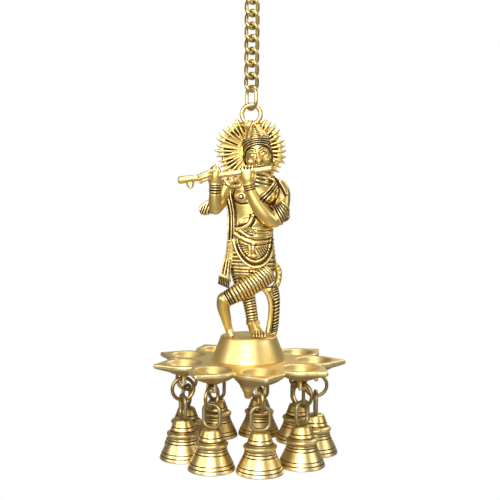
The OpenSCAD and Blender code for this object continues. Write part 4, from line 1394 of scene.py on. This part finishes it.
def buildApron(bm, skin):
    middleX, topZ = apron["centre"]
    patch = bmesh.new()
    upright = Matrix.Translation((middleX, 0, topZ - apron["drop"] / 2)) @ facing
    shape = Matrix.Diagonal((apron["half"], apron["drop"] / 2, 1, 1))
    across, up = apron["grid"]
    bmesh.ops.create_grid(patch, x_segments=across, y_segments=up, size=1, matrix=upright @ shape)
    outside = []
    for v in patch.verts:
        aside = (v.co.x - middleX) / apron["half"]
        down = (topZ - v.co.z) / apron["drop"]
        if aside**2 + down**2 > 1.0:
            outside.append(v)
        else:
            v.co = drawn(skin, [(v.co.x + apron["slant"] * down, v.co.z)] * 2, 1, apron["lift"])[0]
    bmesh.ops.delete(patch, geom=outside, context="VERTS")
    behind = bmesh.ops.extrude_face_region(patch, geom=patch.faces[:])["geom"]
    behind = [g for g in behind if isinstance(g, bmesh.types.BMVert)]
    bmesh.ops.translate(patch, verts=behind, vec=(0, apron["thick"], 0))
    join(bm, patch)
    for share, radius in apron["borders"]:
        marks = [onApron(share, math.radians(a)) for a in range(6, 175, 12)]
        laid(bm, skin, marks, 48, apron["borderLift"], radius)
    limb(bm, apron["knot"], 12, 14)
    ball(bm, *apron["knotEnd"], 14)


# borders, hem hatching and the two fans of strokes beside the knot
def apronCuts():
    lines = [[onApron(share, math.radians(a)) for a in range(4, 177, 12)] for share in apron["rings"]]
    for turn in np.radians(np.linspace(8, 172, apron["hemStrokes"])):
        lines.append([onApron(share, turn) for share in apron["hem"]])
    for t in np.linspace(0, 1, apron["fanStrokes"]):
        for first, last in np.array(apron["fans"]):
            lines.append((first + (last - first) * t).tolist())
    return lines


buildHalo()
print("halo made")
buildHead()
print("head made")
buildUpperBody()
print("upper body made")
buildLowerBody()
print("lower body made")


# pedestal and dish

pedestal = {
    "topRadius": 22.5,
    "wall": 3,
    "edge": 2,
    # the top is a little lower this far in from its edge
    "dip": (8, 0.1),
    "footEdge": 0.6,
    "footEdgeZ": 0.5,
    "innerSlope": 2.2,
    "gap": 1.2,
    "steps": 128,
    "sharpAngle": 50,
}


def buildPedestal():
    low, highest = boxOf("pedestal")
    high = highest.z - low.z
    foot = (highest.x - low.x) / 2
    top = pedestal["topRadius"] - pedestal["edge"]
    wall = pedestal["wall"]
    dip, dipDepth = pedestal["dip"]
    footEdge = pedestal["footEdge"]
    outline = [(0, high), (top - dip, high - dipDepth)]
    outline += arc((top, high - pedestal["edge"]), pedestal["edge"], 90, 12, 10)
    outline += arc((foot - footEdge, pedestal["footEdgeZ"]), footEdge, 15, -90, 6)
    outline += [(foot - wall, 0), (top - wall + pedestal["innerSlope"], high - wall), (0, high - wall)]
    bm = bmesh.new()
    lathe(bm, finer(outline, pedestal["gap"]), pedestal["steps"])
    piece = pieceFrom("pedestal_cone", bm, pedestal["sharpAngle"])
    seat = (dishMiddle.x, dishMiddle.y, rimZ)
    place(piece, "lamp", finishes["dish"], "polished_brass", ["pedestal"], seat)


dish = {"voxel": 0.72, "rounds": 3, "relief": (10, 0.6), "under": 0.36, "underShadeSlope": -1.6}


# the cast dish is the frame's own solid with its edges softened
def buildDish():
    bm = bmesh.new()
    bm.from_mesh(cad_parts["lamp_dish"].data)
    bmesh.ops.remove_doubles(bm, verts=bm.verts, dist=1e-6)
    bmesh.ops.scale(bm, verts=bm.verts, vec=(1 / milli,) * 3)
    piece = fuse("dish_casting", bm, dish["voxel"], dish["rounds"])
    markRelief(piece.data, *dish["relief"])
    # painted shade: the underside is left browner, in the same mark as the cut lines' ink
    inkAndShade = piece.data.attributes.new("inkAndShade", "FLOAT", "POINT")
    slopes = [dish["underShadeSlope"] * n.vector.z for n in piece.data.vertex_normals]
    under = [dish["under"] * min(1, max(0, slope)) for slope in slopes]
    inkAndShade.data.foreach_set("value", under)
    place(piece, "lamp", finishes["dish"], "polished_brass", ["lamp_dish"])


buildPedestal()
buildDish()
print("pedestal and dish made")


# chain

chain = {"wire": 3.2, "width": 11.7, "span": 13.1, "twist": 45, "rings": 64, "sides": 16}


def linkPath(t):
    r = (chain["width"] - chain["wire"]) / 2
    flat = chain["span"] - 2 * r
    turn = math.pi * r
    walk = t * 2 * (flat + turn)
    if walk < flat:
        x, z = r, walk - flat / 2
    elif walk < flat + turn:
        a = (walk - flat) / r
        x, z = r * math.cos(a), flat / 2 + r * math.sin(a)
    elif walk < 2 * flat + turn:
        x, z = -r, flat / 2 - (walk - flat - turn)
    else:
        a = (walk - 2 * flat - turn) / r
        x, z = -r * math.cos(a), -flat / 2 - r * math.sin(a)
    twist = -math.radians(chain["twist"]) * 2 * z / chain["span"]
    return x * math.cos(twist), x * math.sin(twist), z


def buildChain():
    path = [linkPath((k + 0.5) / chain["rings"]) for k in range(chain["rings"])]
    bm = bmesh.new()
    closedWire(bm, path, chain["wire"] / 2, lambda k: path[k], chain["sides"])
    pattern = pieceFrom("curb_link", bm)
    for i in range(1, links + 1):
        node = f"chain_link_{i}"
        piece = copyOf(pattern, f"curb_link_{i}")
        place(piece, f"link_{i}", finishes["chain"], "chain_brass", [node], middleOf(node))
    removePattern(pattern)


buildChain()
print("chain made")


# bells with their rings

bell = {
    "loopWire": 3,
    "loopWidth": 14,
    "loopHeight": 17,
    "loopCorner": 5,
    "loopSink": 0.6,
    "loopSteps": 18,
    "loopInk": 0.4,
    "loopFrom": 0.2,
    "height": 31,
    "stapleZ": -4.2,
    "stapleRadius": 2.6,
    "stapleWire": 1.6,
    "ringWire": 2.8,
    "ringRadius": 8.6,
    "outer": [
        (0, 0.1), (5, 0), (6.2, -0.4), (7, -1.3), (7.6, -2.8), (8.2, -4.6), (8.6, -5.7),
        (8.4, -6.1), (8.9, -6.4), (9.4, -7.6), (9.6, -8.6), (9.4, -9), (9.9, -9.3),
        (10.6, -9.9), (11.9, -10.5), (12.5, -11.1), (12.6, -11.8), (12.2, -12.6), (11.7, -13.3),
        (11.5, -13.9), (11.25, -14.3), (11.6, -14.6), (11.7, -15.6), (11.5, -16), (11.9, -16.3),
        (12.4, -17.8), (12.2, -18.2), (12.7, -18.5), (13.9, -21), (15, -23.2), (15.9, -25.1),
        (15.7, -25.5), (16.2, -25.7), (17, -27.7), (16.85, -28.2), (17.3, -28.4),
        (17.8, -29.9), (17.95, -30.5), (17.8, -31), (17.3, -31),
    ],
    "inner": [
        (15.9, -31), (14.4, -28.4), (12.2, -24.4), (10, -20), (9, -16), (8.6, -12.4),
        (7, -9.8), (5.2, -4), (4.6, -3.2), (0, -3),
    ],
    "grooves": (-6, -9, -14.2, -16, -18.2, -25.4, -28.1),
    "grooveWidth": 0.3,
    "gap": 0.3,
    "sharpAngle": 55,
    "relief": (12, 0.3),
}


def loopPath():
    half = bell["loopWidth"] / 2
    c = bell["loopCorner"]
    tall = bell["loopHeight"]
    corners = ((half - c, -c), (-half + c, -c), (-half + c, c - tall), (half - c, c - tall))
    path = []
    for k, corner in enumerate(corners):
        bend = arc(corner, c, 90 * k, 90 * k + 90, bell["loopSteps"])
        path += [(0, x, z + tall + bell["loopSink"]) for x, z in bend]
    return path


def bellShape():
    bm = bmesh.new()
    lathe(bm, finer(bell["outer"], bell["gap"]) + bell["inner"], 96)
    closedWire(bm, loopPath(), bell["loopWire"] / 2, sideX, 14)
    staple = Matrix.Translation((0, 0, bell["stapleZ"])) @ Matrix.Rotation(math.pi / 2, 4, "Y")
    hoop(bm, staple, bell["stapleRadius"], bell["stapleWire"], 32, 10)
    inkAndShade = bm.verts.layers.float.new("inkAndShade")
    for v in bm.verts:
        away = min(abs(v.co.z - z) for z in bell["grooves"])
        groove = math.exp(-((away / bell["grooveWidth"]) ** 2))
        v[inkAndShade] = groove if v.co.z < bell["loopFrom"] else bell["loopInk"]
    piece = pieceFrom("temple_bell", bm, bell["sharpAngle"])
    markRelief(piece.data, *bell["relief"])
    return piece


def ringShape():
    bm = bmesh.new()
    hoop(bm, facing, bell["ringRadius"], bell["ringWire"], 64, 16)
    return pieceFrom("hanging_ring", bm)


def buildBells():
    bellPattern, ringPattern = bellShape(), ringShape()
    for i in range(1, petals + 1):
        low, high = boxOf(f"bell_{i}")
        middle = (low + high) / 2
        turn = Matrix.Rotation(math.atan2(middle.y - dishMiddle.y, middle.x - dishMiddle.x), 4, "Z")
        piece = copyOf(bellPattern, f"temple_bell_{i}", turn)
        crown = (middle.x, middle.y, low.z + bell["height"])
        # painted shade: bells behind the dish's middle take the darker copy of the bell brass
        finish = finishes["shadedBell" if middle.y > dishMiddle.y else "bell"]
        place(piece, f"bell_{i}", finish, "antique_brass", [f"bell_{i}"], crown)
        piece = copyOf(ringPattern, f"hanging_ring_{i}", turn)
        node = f"bell_ring_{i}"
        place(piece, f"ring_{i}", finishes["ring"], "chain_brass", [node], middleOf(node))
    removePattern(bellPattern)
    removePattern(ringPattern)


buildBells()
print("bells and rings made")


# solids whose shape is right keep their place and take a finish

dressed = {"top_hook": "chain", "connector_link": "chain", "clamp_stud": "clapper", "finial_nut": "dish"}
dressed |= {f"clapper_{i}": "clapper" for i in range(1, petals + 1)}
for node, finish in dressed.items():
    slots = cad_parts[node].data.materials
    slots.clear()
    slots.append(finishes[finish])

buildCamera()
buildStudio()
print("camera and studio set")
